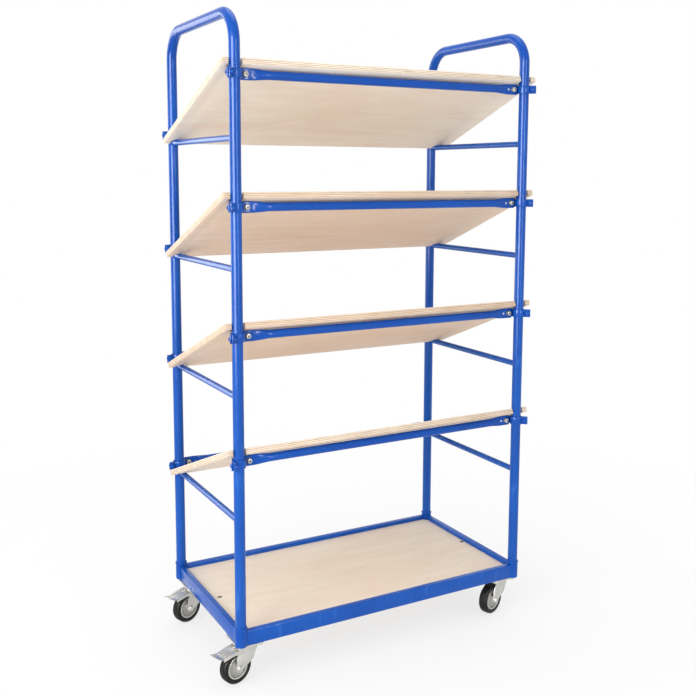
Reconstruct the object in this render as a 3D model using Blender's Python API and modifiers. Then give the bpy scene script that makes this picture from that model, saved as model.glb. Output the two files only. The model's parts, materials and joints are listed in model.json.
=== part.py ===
"""Sloped shelf cart.

A tube-framed trolley on four casters. Two hoops stand in the corner sockets of a welded base frame
and carry four plywood shelves. Every shelf drops towards +Y: its low side hangs on the crossbars of
the hoops, and its high side lies on a rail that is clamped to the uprights. A second clamped rail
stands behind the low edge as a stop. A plywood deck lies in the base frame.

Metres, +Z up. X runs along the cart, the shelves' high side faces -Y and the floor is at Z = 0.
"""

import math

import bmesh
import bpy
from mathutils import Matrix, Vector

# Fits
CLEARANCE = 0.0003
WELD_OVERLAP = 0.002

# Uprights, hoops and crossbars
OVERALL_HEIGHT = 1.956
SPAN_LENGTH = 1.000
SPAN_DEPTH = 0.530
UPRIGHT_RADIUS = 0.016
HOOP_BEND_RADIUS = 0.088
HANDLE_STRAIGHT = 0.0835
CROSSBAR_RADIUS = 0.0095

# Tiers
TIER_COUNT = 4
FIRST_TIER_RISE = 0.332

# Shelves
SHELF_TILT = math.radians(21.5)
SHELF_THICKNESS = 0.018
SHELF_OVERHANG = 0.039
LOW_SEAT_INSET = 0.061
LOW_TONGUE = 0.036
HIGH_TONGUE = 0.034
NOTCH_SIDE_GAP = 0.004
NOTCH_END_GAP = 0.0046

# Clamped rails with flattened ends
RAIL_TUBE_RADIUS = 0.0125
FLAT_HEIGHT = 0.033
FLAT_THICKNESS = 0.0055
FLAT_LENGTH = 0.028
TAPER_LENGTH = 0.060
TAPER_RINGS = 3

# Clamps
BAND_THICKNESS = 0.0042
CLAMP_HEIGHT = 0.025
EAR_LENGTH = 0.018
EAR_THICKNESS = 0.0035
EAR_SLIT = 0.003
HIGH_EAR_ANGLE = math.radians(42.0)
LOW_EAR_ANGLE = math.radians(20.0)
LUG_THICKNESS = 0.004
LUG_INSET = 0.0015
LUG_OVERLAP = 0.026
RAIL_END_GAP = 0.0015
LOW_CLAMP_GAP = 0.0015

# Base frame and deck
BASE_RAIL_HEIGHT = 0.045
BASE_RAIL_WIDTH = 0.020
SOCKET_WALL = 0.002
SOCKET_HEIGHT = 0.058
SOCKET_FLOOR = 0.005
SOCKET_BEAD_HEIGHT = 0.006
SOCKET_BEAD_WIDTH = 0.0012
PAD_THICKNESS = 0.004
PAD_PROUD = 0.001
LEDGE_WIDTH = 0.035
LEDGE_THICKNESS = 0.003
DECK_THICKNESS = 0.012
DECK_RECESS = 0.013
DECK_GAP = 0.0008

# Casters
CASTER_INSET_LENGTH = 0.031
CASTER_INSET_DEPTH = 0.045
CASTER_TRAIL = 0.036
LEFT_HIGH_TURN = math.radians(15.0)
LEFT_LOW_TURN = math.radians(20.0)
RIGHT_HIGH_TURN = math.radians(18.0)
RIGHT_LOW_TURN = math.radians(18.0)
WHEEL_RADIUS = 0.050
TYRE_WIDTH = 0.030
TYRE_SHOULDER = 0.005
RIM_RADIUS = 0.0355
RIM_WIDTH = 0.027
RIM_LIP = 0.005
RIM_WEB = 0.010
HUB_RADIUS = 0.013
AXLE_RADIUS = 0.006
AXLE_NUT_RADIUS = 0.009
AXLE_NUT_HEIGHT = 0.006
PLATE_LENGTH = 0.085
PLATE_DEPTH = 0.105
PLATE_THICKNESS = 0.004
HEAD_RADIUS = 0.028
HEAD_HEIGHT = 0.012
KINGPIN_RADIUS = 0.006
KINGPIN_LENGTH = 0.009
FORK_SIDE_GAP = 0.004
FORK_SHEET = 0.003
FORK_FRONT = 0.033
FORK_REAR = 0.022
CROWN_GAP = 0.005
CROWN_THICKNESS = 0.0055
LEG_END_RADIUS = 0.012
LEG_KNEE_FORWARD = 0.050
LEG_KNEE_RISE = 0.015
LEG_HEEL_BACK = 0.009
LEG_HEEL_RISE = 0.035
LEG_SHOULDER_FORWARD = 0.002
LEG_SHOULDER_DROP = 0.0095

# Brake pedals, lengths from the axle and heights from the top of the wheel
PEDAL_SHEET = 0.002
PEDAL_PIVOT_FORWARD = 0.006
PEDAL_PIVOT_DROP = 0.002
PEDAL_PIN_RADIUS = 0.003
PEDAL_PIN_PROUD = 0.0012
PEDAL_BOSS_RADIUS = 0.007
PEDAL_HEAD_RISE = 0.010
PEDAL_BEND_BACK = 0.022
PEDAL_BEND_RISE = 0.0065
PEDAL_TAIL_BACK = 0.058
PEDAL_TAIL_DROP = 0.001
PEDAL_TIP_BACK = 0.076
PEDAL_TIP_RISE = 0.006
PEDAL_FLANGE_BACK = 0.018
PEDAL_FLANGE_DROP = 0.003
PEDAL_FLANGE_TAIL = 0.006

# Roundness of the faceted solids
TUBE_SIDES = 16
CLAMP_SIDES = 16
PIN_SIDES = 12
WHEEL_STEPS = 24
BEND_STEPS = 8
NOTCH_STEPS = 8
HEX_SIDES = 6
SHARP_ANGLE = math.radians(35.0)
WELD_DISTANCE = 0.000005

# Heights, from the floor up
AXLE_HEIGHT = WHEEL_RADIUS
WHEEL_TOP = 2 * WHEEL_RADIUS
CROWN_BOTTOM = WHEEL_TOP + CROWN_GAP
FORK_TOP = CROWN_BOTTOM + CROWN_THICKNESS
HEAD_BOTTOM = FORK_TOP + CLEARANCE
PLATE_BOTTOM = HEAD_BOTTOM + HEAD_HEIGHT
PLATE_TOP = PLATE_BOTTOM + PLATE_THICKNESS
PAD_BOTTOM = PLATE_TOP + CLEARANCE
FRAME_BOTTOM = PAD_BOTTOM + PAD_PROUD
FRAME_TOP = FRAME_BOTTOM + BASE_RAIL_HEIGHT
SOCKET_TOP = FRAME_BOTTOM + SOCKET_HEIGHT
UPRIGHT_BOTTOM = FRAME_BOTTOM + SOCKET_FLOOR + CLEARANCE
DECK_BOTTOM = FRAME_TOP - DECK_RECESS - DECK_THICKNESS
LEDGE_TOP = DECK_BOTTOM - CLEARANCE

# Places across the cart
HALF_LENGTH = SPAN_LENGTH / 2
HIGH_Y = -SPAN_DEPTH / 2
LOW_Y = SPAN_DEPTH / 2
PIVOT_Y = LOW_Y - LOW_SEAT_INSET
NOTCH_RADIUS = UPRIGHT_RADIUS + NOTCH_SIDE_GAP
HIGH_NOTCH_Y = HIGH_Y + UPRIGHT_RADIUS + NOTCH_END_GAP
SLOPE_RUN = (PIVOT_Y - HIGH_NOTCH_Y) / math.cos(SHELF_TILT)

# Clamps and rails, from the axis of the upright that carries them
BAND_INNER = UPRIGHT_RADIUS + CLEARANCE
BAND_OUTER = BAND_INNER + BAND_THICKNESS
LUG_OUTER = BAND_OUTER - LUG_INSET
LUG_INNER = LUG_OUTER - LUG_THICKNESS
RAIL_OFFSET = LUG_INNER - CLEARANCE - FLAT_THICKNESS / 2
RAIL_SETBACK = BAND_OUTER + RAIL_END_GAP
SOCKET_RADIUS = BAND_INNER + SOCKET_WALL

# Heights above the crossbars of a tier
PIVOT_RISE = CROSSBAR_RADIUS + CLEARANCE
SEAT_RISE = PIVOT_RISE + (PIVOT_Y - HIGH_Y - RAIL_OFFSET) * math.tan(SHELF_TILT)
HIGH_RAIL_RISE = SEAT_RISE - CLEARANCE / math.cos(SHELF_TILT) - FLAT_HEIGHT / 2
LOW_RAIL_RISE = CROSSBAR_RADIUS + LOW_CLAMP_GAP + CLAMP_HEIGHT / 2

# Tiers, spread evenly up to the straight below the bends of the hoops
BEND_HEIGHT = OVERALL_HEIGHT - UPRIGHT_RADIUS - HOOP_BEND_RADIUS
FIRST_TIER = FRAME_TOP + FIRST_TIER_RISE
LAST_TIER = BEND_HEIGHT - HANDLE_STRAIGHT - HIGH_RAIL_RISE
TIER_PITCH = (LAST_TIER - FIRST_TIER) / (TIER_COUNT - 1)

# Caster widths, from the middle of the wheel
FORK_INNER = TYRE_WIDTH / 2 + FORK_SIDE_GAP
FORK_OUTER = FORK_INNER + FORK_SHEET
PEDAL_INNER = FORK_OUTER + CLEARANCE
PEDAL_OUTER = PEDAL_INNER + PEDAL_SHEET

PARTS = "sloped_shelf_cart"
CUTTERS = "cutters"
AXIS_Y = Matrix.Rotation(math.pi / 2, 4, "X")


def start():
    """Empty the scene and make the collections for the parts and for the shapes they are cut from."""
    for item in list(bpy.data.objects):
        bpy.data.objects.remove(item)
    for name in (PARTS, CUTTERS):
        collection = bpy.data.collections.new(name)
        bpy.context.scene.collection.children.link(collection)


def tier_height(tier):
    """Height of the crossbars' axis, tier 1 being the lowest."""
    return FIRST_TIER + (tier - 1) * TIER_PITCH


def flats_radius(radius, sides):
    """Corner radius of a polygon whose flat sides stand at the given radius."""
    return radius / math.cos(math.pi / sides)


def arc(centre, radius, first, last, steps):
    """Points along an arc in a plane, both ends included."""
    angles = [first + (last - first) * step / steps for step in range(steps + 1)]
    return [(centre[0] + radius * math.cos(a), centre[1] + radius * math.sin(a)) for a in angles]


def steps_for(first, last):
    """Number of arc steps that gives a stretch of a clamp its full roundness."""
    return max(1, math.ceil(abs(last - first) / math.tau * CLAMP_SIDES))


# Materials


def linear(value):
    """One display colour value, 0 to 255, as a linear one."""
    share = value / 255
    return share / 12.92 if share <= 0.04045 else ((share + 0.055) / 1.055) ** 2.4


def material(name, colour, roughness, metallic):
    """A Principled surface of one display colour."""
    surface = bpy.data.materials.new(name)
    surface.use_nodes = True
    shader = surface.node_tree.nodes["Principled BSDF"]
    shader.inputs["Base Color"].default_value = [linear(value) for value in colour] + [1.0]
    shader.inputs["Roughness"].default_value = roughness
    shader.inputs["Metallic"].default_value = metallic
    return surface


def make_materials():
    """Finishes of the cart."""
    return {
        "paint": material("blue_powder_coat", (28, 88, 190), 0.35, 0.0),
        "ply": material("birch_plywood", (236, 217, 196), 0.55, 0.0),
        "zinc": material("bright_zinc", (196, 198, 196), 0.35, 0.9),
        "rim": material("grey_rim", (188, 190, 188), 0.45, 0.0),
        "rubber": material("black_rubber", (32, 32, 33), 0.7, 0.0),
    }


# Solids


def settle(solid, matrix=Matrix.Identity(4)):
    """Replace a solid's data by its evaluated mesh, welded and turned into place."""
    graph = bpy.context.evaluated_depsgraph_get()
    mesh = bpy.data.meshes.new_from_object(solid.evaluated_get(graph))
    shape = bmesh.new()
    shape.from_mesh(mesh)
    bmesh.ops.remove_doubles(shape, verts=shape.verts, dist=WELD_DISTANCE)
    bmesh.ops.transform(shape, matrix=matrix, verts=shape.verts)
    bmesh.ops.recalc_face_normals(shape, faces=shape.faces)
    shape.to_mesh(mesh)
    shape.free()
    if solid.type == "MESH":
        solid.modifiers.clear()
        solid.data = mesh
        return solid
    settled = bpy.data.objects.new("solid", mesh)
    bpy.data.collections[CUTTERS].objects.link(settled)
    bpy.data.objects.remove(solid)
    return settled


def mesh_solid(shape):
    """A solid from a bmesh, which is freed."""
    mesh = bpy.data.meshes.new("solid")
    shape.to_mesh(mesh)
    shape.free()
    solid = bpy.data.objects.new("solid", mesh)
    bpy.data.collections[CUTTERS].objects.link(solid)
    return solid


def box(low, high):
    """A box between two opposite corners."""
    low = Vector(low)
    high = Vector(high)
    shape = bmesh.new()
    place_box = Matrix.Translation((low + high) / 2) @ Matrix.Diagonal((*(high - low), 1.0))
    bmesh.ops.create_cube(shape, size=1.0, matrix=place_box)
    return mesh_solid(shape)


def cylinder(radius, start_point, end_point, sides):
    """A capped round bar between two points."""
    first = Vector(start_point)
    run = Vector(end_point) - first
    turn = run.to_track_quat("Z", "Y").to_matrix().to_4x4()
    shape = bmesh.new()
    bmesh.ops.create_cone(
        shape, cap_ends=True, segments=sides, radius1=radius, radius2=radius,
        depth=run.length, matrix=Matrix.Translation(first + run / 2) @ turn)
    return mesh_solid(shape)


def curve_solid(curve, loops, cyclic, matrix=Matrix.Identity(4)):
    """Fill a curve with straight-sided splines and make it a solid."""
    for loop in loops:
        spline = curve.splines.new("POLY")
        spline.points.add(len(loop) - 1)
        for point, place_of_point in zip(spline.points, loop):
            point.co = (*place_of_point, 1.0)
        spline.use_cyclic_u = cyclic
    source = bpy.data.objects.new("curve", curve)
    bpy.data.collections[CUTTERS].objects.link(source)
    return settle(source, matrix)


def plate(loops, thickness, matrix=Matrix.Identity(4)):
    """A flat plate, half on each side of the XY plane, from one outline and any holes in it."""
    curve = bpy.data.curves.new("outline", "CURVE")
    curve.dimensions = "2D"
    curve.fill_mode = "BOTH"
    curve.extrude = thickness / 2
    return curve_solid(curve, [[(x, y, 0.0) for x, y in loop] for loop in loops], True, matrix)


def tube(points, radius):
    """A bent round bar along a path."""
    curve = bpy.data.curves.new("path", "CURVE")
    curve.dimensions = "3D"
    curve.bevel_depth = radius
    curve.bevel_resolution = TUBE_SIDES // 2 - 2
    curve.use_fill_caps = True
    return curve_solid(curve, [points], False)


def turned(profile, matrix):
    """A ring turned about Z from a closed profile of (radius, height) points."""
    shape = bmesh.new()
    corners = [shape.verts.new((radius, 0.0, height)) for radius, height in profile]
    for corner, following in zip(corners, corners[1:] + corners[:1]):
        shape.edges.new((corner, following))
    ring = mesh_solid(shape)
    screw = ring.modifiers.new("turn", "SCREW")
    screw.steps = WHEEL_STEPS
    screw.render_steps = WHEEL_STEPS
    screw.use_merge_vertices = True
    screw.merge_threshold = WELD_DISTANCE
    return settle(ring, matrix)


def combine(solid, operation, tools):
    """Join tools to a solid, or cut them out of it."""
    for tool in tools:
        modifier = solid.modifiers.new("combine", "BOOLEAN")
        modifier.operation = operation
        modifier.object = tool
    settle(solid)
    for tool in tools:
        bpy.data.objects.remove(tool)
    return solid


def finished(solid, surface):
    """The mesh of a solid, shaded, with its material; the solid itself is put away."""
    mesh = solid.data
    mesh.shade_smooth()
    mesh.set_sharp_from_angle(angle=SHARP_ANGLE)
    mesh.materials.append(surface)
    bpy.data.objects.remove(solid)
    return mesh


def place(name, mesh, parent, location=(0.0, 0.0, 0.0), rotation=(0.0, 0.0, 0.0)):
    """Put a named piece into the cart."""
    piece = bpy.data.objects.new(name, mesh)
    bpy.data.collections[PARTS].objects.link(piece)
    piece.parent = parent
    piece.location = location
    piece.rotation_euler = rotation
    return piece


def empty(name, parent=None, location=(0.0, 0.0, 0.0), turn=0.0):
    """A point that other pieces are placed from."""
    return place(name, None, parent, location, (0.0, 0.0, turn))


# Base


def corners():
    """Signs of X and Y at the four uprights."""
    return [(side, row) for side in (-1, 1) for row in (-1, 1)]


def base_rails():
    """Four rails that end inside the corner sockets."""
    half = BASE_RAIL_WIDTH / 2
    end = SOCKET_RADIUS - math.hypot(half, half) / 2
    long_end = HALF_LENGTH - end
    short_end = LOW_Y - end
    rails = []
    for sign in (-1, 1):
        y = sign * LOW_Y
        x = sign * HALF_LENGTH
        rails.append(box((-long_end, y - half, FRAME_BOTTOM), (long_end, y + half, FRAME_TOP)))
        rails.append(box((x - half, -short_end, FRAME_BOTTOM), (x + half, short_end, FRAME_TOP)))
    return rails


def corner_pad(side, row):
    """Plate inside a frame corner, over the caster."""
    near = BASE_RAIL_WIDTH / 2 - WELD_OVERLAP
    xs = sorted(side * (HALF_LENGTH - x) for x in (near, CASTER_INSET_LENGTH + PLATE_LENGTH / 2))
    ys = sorted(row * (LOW_Y - y) for y in (near, CASTER_INSET_DEPTH + PLATE_DEPTH / 2))
    return box((xs[0], ys[0], PAD_BOTTOM), (xs[1], ys[1], PAD_BOTTOM + PAD_THICKNESS))


def rectangle(half_x, half_y):
    """Corner points of a centred rectangle."""
    return [(-half_x, -half_y), (half_x, -half_y), (half_x, half_y), (-half_x, half_y)]


def deck_ledge():
    """Flat ring inside the rails that the deck lies on."""
    outer = BASE_RAIL_WIDTH / 2 - WELD_OVERLAP
    inner = BASE_RAIL_WIDTH / 2 + LEDGE_WIDTH
    loops = [rectangle(HALF_LENGTH - inset, LOW_Y - inset) for inset in (outer, inner)]
    middle = LEDGE_TOP - LEDGE_THICKNESS / 2
    return plate(loops, LEDGE_THICKNESS, Matrix.Translation((0.0, 0.0, middle)))


def make_base_frame(root, finishes):
    """Rails, sockets, pads and ledge, welded into one piece."""
    frame_parts = base_rails() + [deck_ledge()]
    bores = []
    for side, row in corners():
        x = side * HALF_LENGTH
        y = row * LOW_Y
        bead_bottom = SOCKET_TOP - SOCKET_BEAD_HEIGHT
        bead_radius = SOCKET_RADIUS + SOCKET_BEAD_WIDTH
        frame_parts.append(cylinder(SOCKET_RADIUS, (x, y, FRAME_BOTTOM), (x, y, SOCKET_TOP), CLAMP_SIDES))
        frame_parts.append(cylinder(bead_radius, (x, y, bead_bottom), (x, y, SOCKET_TOP), CLAMP_SIDES))
        frame_parts.append(corner_pad(side, row))
        floor = FRAME_BOTTOM + SOCKET_FLOOR
        bore = flats_radius(BAND_INNER, CLAMP_SIDES)
        bores.append(cylinder(bore, (x, y, floor), (x, y, SOCKET_TOP + SOCKET_HEIGHT), CLAMP_SIDES))
    frame = combine(frame_parts[0], "UNION", frame_parts[1:])
    combine(frame, "DIFFERENCE", bores)
    place("base_frame", finished(frame, finishes["paint"]), root)


def make_deck(root, finishes):
    """Plywood deck with a square cut-out round each socket."""
    edge = BASE_RAIL_WIDTH / 2 + DECK_GAP
    cut = SOCKET_RADIUS + DECK_GAP
    quarter = [(cut, edge), (cut, cut), (edge, cut)]
    outline = []
    for side, row in ((-1, -1), (1, -1), (1, 1), (-1, 1)):
        corner = [(side * (HALF_LENGTH - x), row * (LOW_Y - y)) for x, y in quarter]
        outline += corner if side * row < 0 else corner[::-1]
    middle = DECK_BOTTOM + DECK_THICKNESS / 2
    deck = plate([outline], DECK_THICKNESS)
    place("base_deck", finished(deck, finishes["ply"]), root, (0.0, 0.0, middle))


# Hoops


def hoop_path():
    """Path of a hoop in the YZ plane, from one foot to the other."""
    reach = LOW_Y - HOOP_BEND_RADIUS
    quarter = math.pi / 2
    over = arc((-reach, BEND_HEIGHT), HOOP_BEND_RADIUS, math.pi, quarter, BEND_STEPS)
    over += arc((reach, BEND_HEIGHT), HOOP_BEND_RADIUS, quarter, 0.0, BEND_STEPS)
    path = [(HIGH_Y, UPRIGHT_BOTTOM)] + over + [(LOW_Y, UPRIGHT_BOTTOM)]
    return [(0.0, y, z) for y, z in path]


def make_hoops(root, finishes):
    """Two hoops and the crossbars between their uprights."""
    hoop = finished(tube(hoop_path(), UPRIGHT_RADIUS), finishes["paint"])
    bar = cylinder(CROSSBAR_RADIUS, (0.0, HIGH_Y, 0.0), (0.0, LOW_Y, 0.0), TUBE_SIDES)
    saddle = flats_radius(BAND_INNER, CLAMP_SIDES)
    depth = 2 * CROSSBAR_RADIUS
    saddles = [cylinder(saddle, (0.0, y, -depth), (0.0, y, depth), CLAMP_SIDES) for y in (HIGH_Y, LOW_Y)]
    crossbar = finished(combine(bar, "DIFFERENCE", saddles), finishes["paint"])
    for hand, side in (("left", -1), ("right", 1)):
        x = side * HALF_LENGTH
        place(f"hoop_{hand}", hoop, root, (x, 0.0, 0.0))
        for tier in range(1, TIER_COUNT + 1):
            place(f"crossbar_{hand}_{tier}", crossbar, root, (x, 0.0, tier_height(tier)))


# Shelves


def notch(x, end, edge):
    """Round-ended notch in a shelf's long edge, from its right side to its left one."""
    towards_edge = math.copysign(1.0, edge - end)
    centre = (x, end + towards_edge * NOTCH_RADIUS)
    half_turn = arc(centre, NOTCH_RADIUS, 0.0, -towards_edge * math.pi, NOTCH_STEPS)
    return [(x + NOTCH_RADIUS, edge)] + half_turn + [(x - NOTCH_RADIUS, edge)]


def shelf_outline():
    """Outline of a shelf: Y runs down the slope from the end of the low notches."""
    half = HALF_LENGTH + SHELF_OVERHANG
    high_edge = -SLOPE_RUN - HIGH_TONGUE
    low_side = [(half, LOW_TONGUE)]
    high_side = [(half, high_edge)]
    for x in (HALF_LENGTH, -HALF_LENGTH):
        low_side += notch(x, 0.0, LOW_TONGUE)
        high_side += notch(x, -SLOPE_RUN, high_edge)
    low_side.append((-half, LOW_TONGUE))
    high_side.append((-half, high_edge))
    return low_side + high_side[::-1]


def make_shelves(root, finishes):
    """Tilted shelves, each turning about the crossbars that carry its low side."""
    lift = Matrix.Translation((0.0, 0.0, SHELF_THICKNESS / 2))
    shelf = finished(plate([shelf_outline()], SHELF_THICKNESS, lift), finishes["ply"])
    for tier in range(1, TIER_COUNT + 1):
        pivot = (0.0, PIVOT_Y, tier_height(tier) + PIVOT_RISE)
        place(f"shelf_{tier}", shelf, root, pivot, (-SHELF_TILT, 0.0, 0.0))


# Clamped rails


def flattened(point):
    """Where a point of the round tube's section goes in the flattened section."""
    angle = math.atan2(abs(point.z), abs(point.y))
    last_flat = math.pi / 2 - math.tau / TUBE_SIDES
    half = FLAT_THICKNESS / 2
    if angle > last_flat + WELD_DISTANCE:
        return Vector((point.x, 0.0, math.copysign(FLAT_HEIGHT / 2, point.z)))
    height = (FLAT_HEIGHT / 2 - half) * angle / last_flat
    return Vector((point.x, math.copysign(half, point.y), math.copysign(height, point.z)))


def flattening(distance):
    """Share of flattening at a distance from the rail's end: 1 on the flat, 0 on the round tube."""
    share = min(max((distance - FLAT_LENGTH) / TAPER_LENGTH, 0.0), 1.0)
    return 1.0 - share * share * (3.0 - 2.0 * share)


def rail_solid():
    """Round tube whose ends are pressed flat."""
    half = HALF_LENGTH - RAIL_SETBACK
    shape = bmesh.new()
    along_x = Matrix.Rotation(math.pi / 2, 4, "Y")
    bmesh.ops.create_cone(
        shape, cap_ends=True, segments=TUBE_SIDES, radius1=RAIL_TUBE_RADIUS,
        radius2=RAIL_TUBE_RADIUS, depth=2 * half, matrix=along_x)
    for ring in range(TAPER_RINGS + 1):
        cut = half - FLAT_LENGTH - TAPER_LENGTH * ring / TAPER_RINGS
        for x in (-cut, cut):
            everything = shape.verts[:] + shape.edges[:] + shape.faces[:]
            bmesh.ops.bisect_plane(shape, geom=everything, plane_co=(x, 0.0, 0.0), plane_no=(1.0, 0.0, 0.0))
    for corner in shape.verts:
        share = flattening(half - abs(corner.co.x))
        corner.co = corner.co.lerp(flattened(corner.co), share)
    return mesh_solid(shape)


def clamp_outline(side, ear_angle):
    """Outline of a clamp round an upright: slit ring, pair of ears outwards and lug inwards."""
    ear = math.pi + ear_angle
    outward = Vector((math.cos(ear), math.sin(ear)))
    across = Vector((-math.sin(ear), math.cos(ear)))
    reach = BAND_OUTER + EAR_LENGTH
    half_slit = EAR_SLIT / 2
    half_ears = half_slit + EAR_THICKNESS
    bore = flats_radius(BAND_INNER, CLAMP_SIDES)
    root_turn = math.asin(half_ears / BAND_OUTER)
    slit_turn = math.asin(half_slit / bore)
    lug_near = math.asin(LUG_INNER / BAND_OUTER)
    lug_far = math.asin(LUG_OUTER / BAND_OUTER)
    lug_end = RAIL_SETBACK + LUG_OVERLAP
    after_ears = ear + root_turn - math.tau
    before_ears = ear - root_turn
    outline = arc((0.0, 0.0), BAND_OUTER, after_ears, lug_near, steps_for(after_ears, lug_near))
    outline += [(lug_end, LUG_INNER), (lug_end, LUG_OUTER)]
    outline += arc((0.0, 0.0), BAND_OUTER, lug_far, before_ears, steps_for(lug_far, before_ears))
    outline += [tuple(outward * reach - across * half_ears), tuple(outward * reach - across * half_slit)]
    bore_first = ear - slit_turn
    bore_last = ear + slit_turn - math.tau
    outline += arc((0.0, 0.0), bore, bore_first, bore_last, steps_for(bore_first, bore_last))
    outline += [tuple(outward * reach + across * half_slit), tuple(outward * reach + across * half_ears)]
    return [(-side * x, y) for x, y in outline]


def make_clamped_rails(root, finishes):
    """High and low rails of every tier, each with a clamp at both ends."""
    rail = finished(rail_solid(), finishes["paint"])
    rows = (("high", HIGH_Y, HIGH_RAIL_RISE, HIGH_EAR_ANGLE), ("low", LOW_Y, LOW_RAIL_RISE, LOW_EAR_ANGLE))
    for row, y, rise, ear_angle in rows:
        clamps = {}
        for hand, side in (("left", -1), ("right", 1)):
            clamp = plate([clamp_outline(side, ear_angle)], CLAMP_HEIGHT)
            clamps[hand] = (side * HALF_LENGTH, finished(clamp, finishes["paint"]))
        for tier in range(1, TIER_COUNT + 1):
            z = tier_height(tier) + rise
            place(f"{row}_rail_{tier}", rail, root, (0.0, y + RAIL_OFFSET, z))
            for hand, (x, clamp) in clamps.items():
                place(f"{row}_clamp_{hand}_{tier}", clamp, root, (x, y, z))


# Casters


def caster_plate_solid():
    """Top plate with the swivel head under it, bored for the kingpin."""
    half_x = PLATE_LENGTH / 2
    half_y = PLATE_DEPTH / 2
    top = box((-half_x, -half_y, PLATE_BOTTOM), (half_x, half_y, PLATE_TOP))
    middle = PLATE_BOTTOM + PLATE_THICKNESS / 2
    head = cylinder(HEAD_RADIUS, (0.0, 0.0, HEAD_BOTTOM), (0.0, 0.0, middle), CLAMP_SIDES)
    combine(top, "UNION", [head])
    bore_top = HEAD_BOTTOM + KINGPIN_LENGTH
    bore_radius = flats_radius(KINGPIN_RADIUS + CLEARANCE, PIN_SIDES)
    bore = cylinder(bore_radius, (0.0, 0.0, CROWN_BOTTOM), (0.0, 0.0, bore_top), PIN_SIDES)
    return combine(top, "DIFFERENCE", [bore])


def tangent(point, radius, hand):
    """Angle at which a line from a point touches a circle round the origin, on the chosen hand."""
    direction = math.atan2(point[1], point[0])
    return direction + hand * math.acos(radius / math.hypot(*point))


def leg_outline():
    """Side of the fork: X from the swivel axis, forwards, and height from the floor."""
    axle = (-CASTER_TRAIL, AXLE_HEIGHT)
    knee = (LEG_KNEE_FORWARD, LEG_KNEE_RISE)
    heel = (-LEG_HEEL_BACK, LEG_HEEL_RISE)
    first = tangent(knee, LEG_END_RADIUS, -1)
    last = tangent(heel, LEG_END_RADIUS, 1) - math.tau
    outline = [(FORK_FRONT, FORK_TOP), (FORK_FRONT, CROWN_BOTTOM)]
    outline.append((axle[0] + knee[0], axle[1] + knee[1]))
    outline += arc(axle, LEG_END_RADIUS, first, last, BEND_STEPS)
    outline.append((axle[0] + heel[0], axle[1] + heel[1]))
    outline.append((axle[0] + LEG_SHOULDER_FORWARD, FORK_TOP - LEG_SHOULDER_DROP))
    outline.append((-FORK_REAR, FORK_TOP))
    return outline


def across_wheel(x, z, half_width, radius, sides):
    """A round bar across the wheel, centred on it."""
    return cylinder(radius, (x, -half_width, z), (x, half_width, z), sides)


def fork_solid(braked):
    """Two legs, crown, kingpin and axle with its nuts; a braked fork also carries the pedal's pins."""
    half_sheet = FORK_SHEET / 2
    leg_middle = FORK_INNER + half_sheet
    crown_inset = half_sheet / 2
    crown_low = (crown_inset - FORK_REAR, -leg_middle, CROWN_BOTTOM)
    crown_high = (FORK_FRONT - crown_inset, leg_middle, FORK_TOP - crown_inset)
    crown = box(crown_low, crown_high)
    tools = []
    for sign in (-1, 1):
        side = Matrix.Translation((0.0, sign * leg_middle, 0.0)) @ AXIS_Y
        tools.append(plate([leg_outline()], FORK_SHEET, side))
    pin_bottom = CROWN_BOTTOM + CROWN_THICKNESS / 2
    pin_top = HEAD_BOTTOM + KINGPIN_LENGTH - CLEARANCE
    tools.append(cylinder(KINGPIN_RADIUS, (0.0, 0.0, pin_bottom), (0.0, 0.0, pin_top), PIN_SIDES))
    tools.append(across_wheel(-CASTER_TRAIL, AXLE_HEIGHT, leg_middle, AXLE_RADIUS, PIN_SIDES))
    nut_outer = FORK_OUTER + AXLE_NUT_HEIGHT
    for sign in (-1, 1):
        inner_end = (-CASTER_TRAIL, sign * leg_middle, AXLE_HEIGHT)
        outer_end = (-CASTER_TRAIL, sign * nut_outer, AXLE_HEIGHT)
        tools.append(cylinder(AXLE_NUT_RADIUS, inner_end, outer_end, HEX_SIDES))
    if braked:
        x, z = pedal_pivot()
        for sign in (-1, 1):
            inner_end = (x, sign * leg_middle, z)
            outer_end = (x, sign * (PEDAL_OUTER + PEDAL_PIN_PROUD), z)
            tools.append(cylinder(PEDAL_PIN_RADIUS, inner_end, outer_end, PIN_SIDES))
    return combine(crown, "UNION", tools)


def rim_solid():
    """Wheel rim: hub, web and lips, turned about the axle."""
    hub = FORK_INNER - CLEARANCE
    bore = flats_radius(AXLE_RADIUS + CLEARANCE, WHEEL_STEPS)
    web = RIM_WEB / 2
    lip = RIM_RADIUS - RIM_LIP
    lip_root = lip - WELD_OVERLAP
    upper = [(bore, hub), (HUB_RADIUS, hub), (HUB_RADIUS, web), (lip_root, web)]
    upper += [(lip, RIM_WIDTH / 2), (RIM_RADIUS, RIM_WIDTH / 2)]
    lower = [(radius, -height) for radius, height in reversed(upper)]
    return turned(upper + lower, wheel_turn())


def tyre_solid():
    """Solid rubber tyre with bevelled shoulders, standing on one of its flat facets."""
    seat = flats_radius(RIM_RADIUS + CLEARANCE, WHEEL_STEPS)
    tread = flats_radius(WHEEL_RADIUS, WHEEL_STEPS)
    half = TYRE_WIDTH / 2
    upper = [(seat, RIM_WIDTH / 2), (seat + WELD_OVERLAP, half), (tread - TYRE_SHOULDER, half)]
    upper.append((tread, half - TYRE_SHOULDER))
    lower = [(radius, -height) for radius, height in reversed(upper)]
    return turned(upper + lower, wheel_turn())


def wheel_turn():
    """Turn of a wheel from its turning axis to its axle, with a facet of the tread downwards."""
    return AXIS_Y @ Matrix.Rotation(math.pi / WHEEL_STEPS, 4, "Z")


# Brake pedals


def pedal_pivot():
    """Pedal's pivot: X from the swivel axis and height from the floor."""
    return (PEDAL_PIVOT_FORWARD - CASTER_TRAIL, WHEEL_TOP - PEDAL_PIVOT_DROP)


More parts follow.
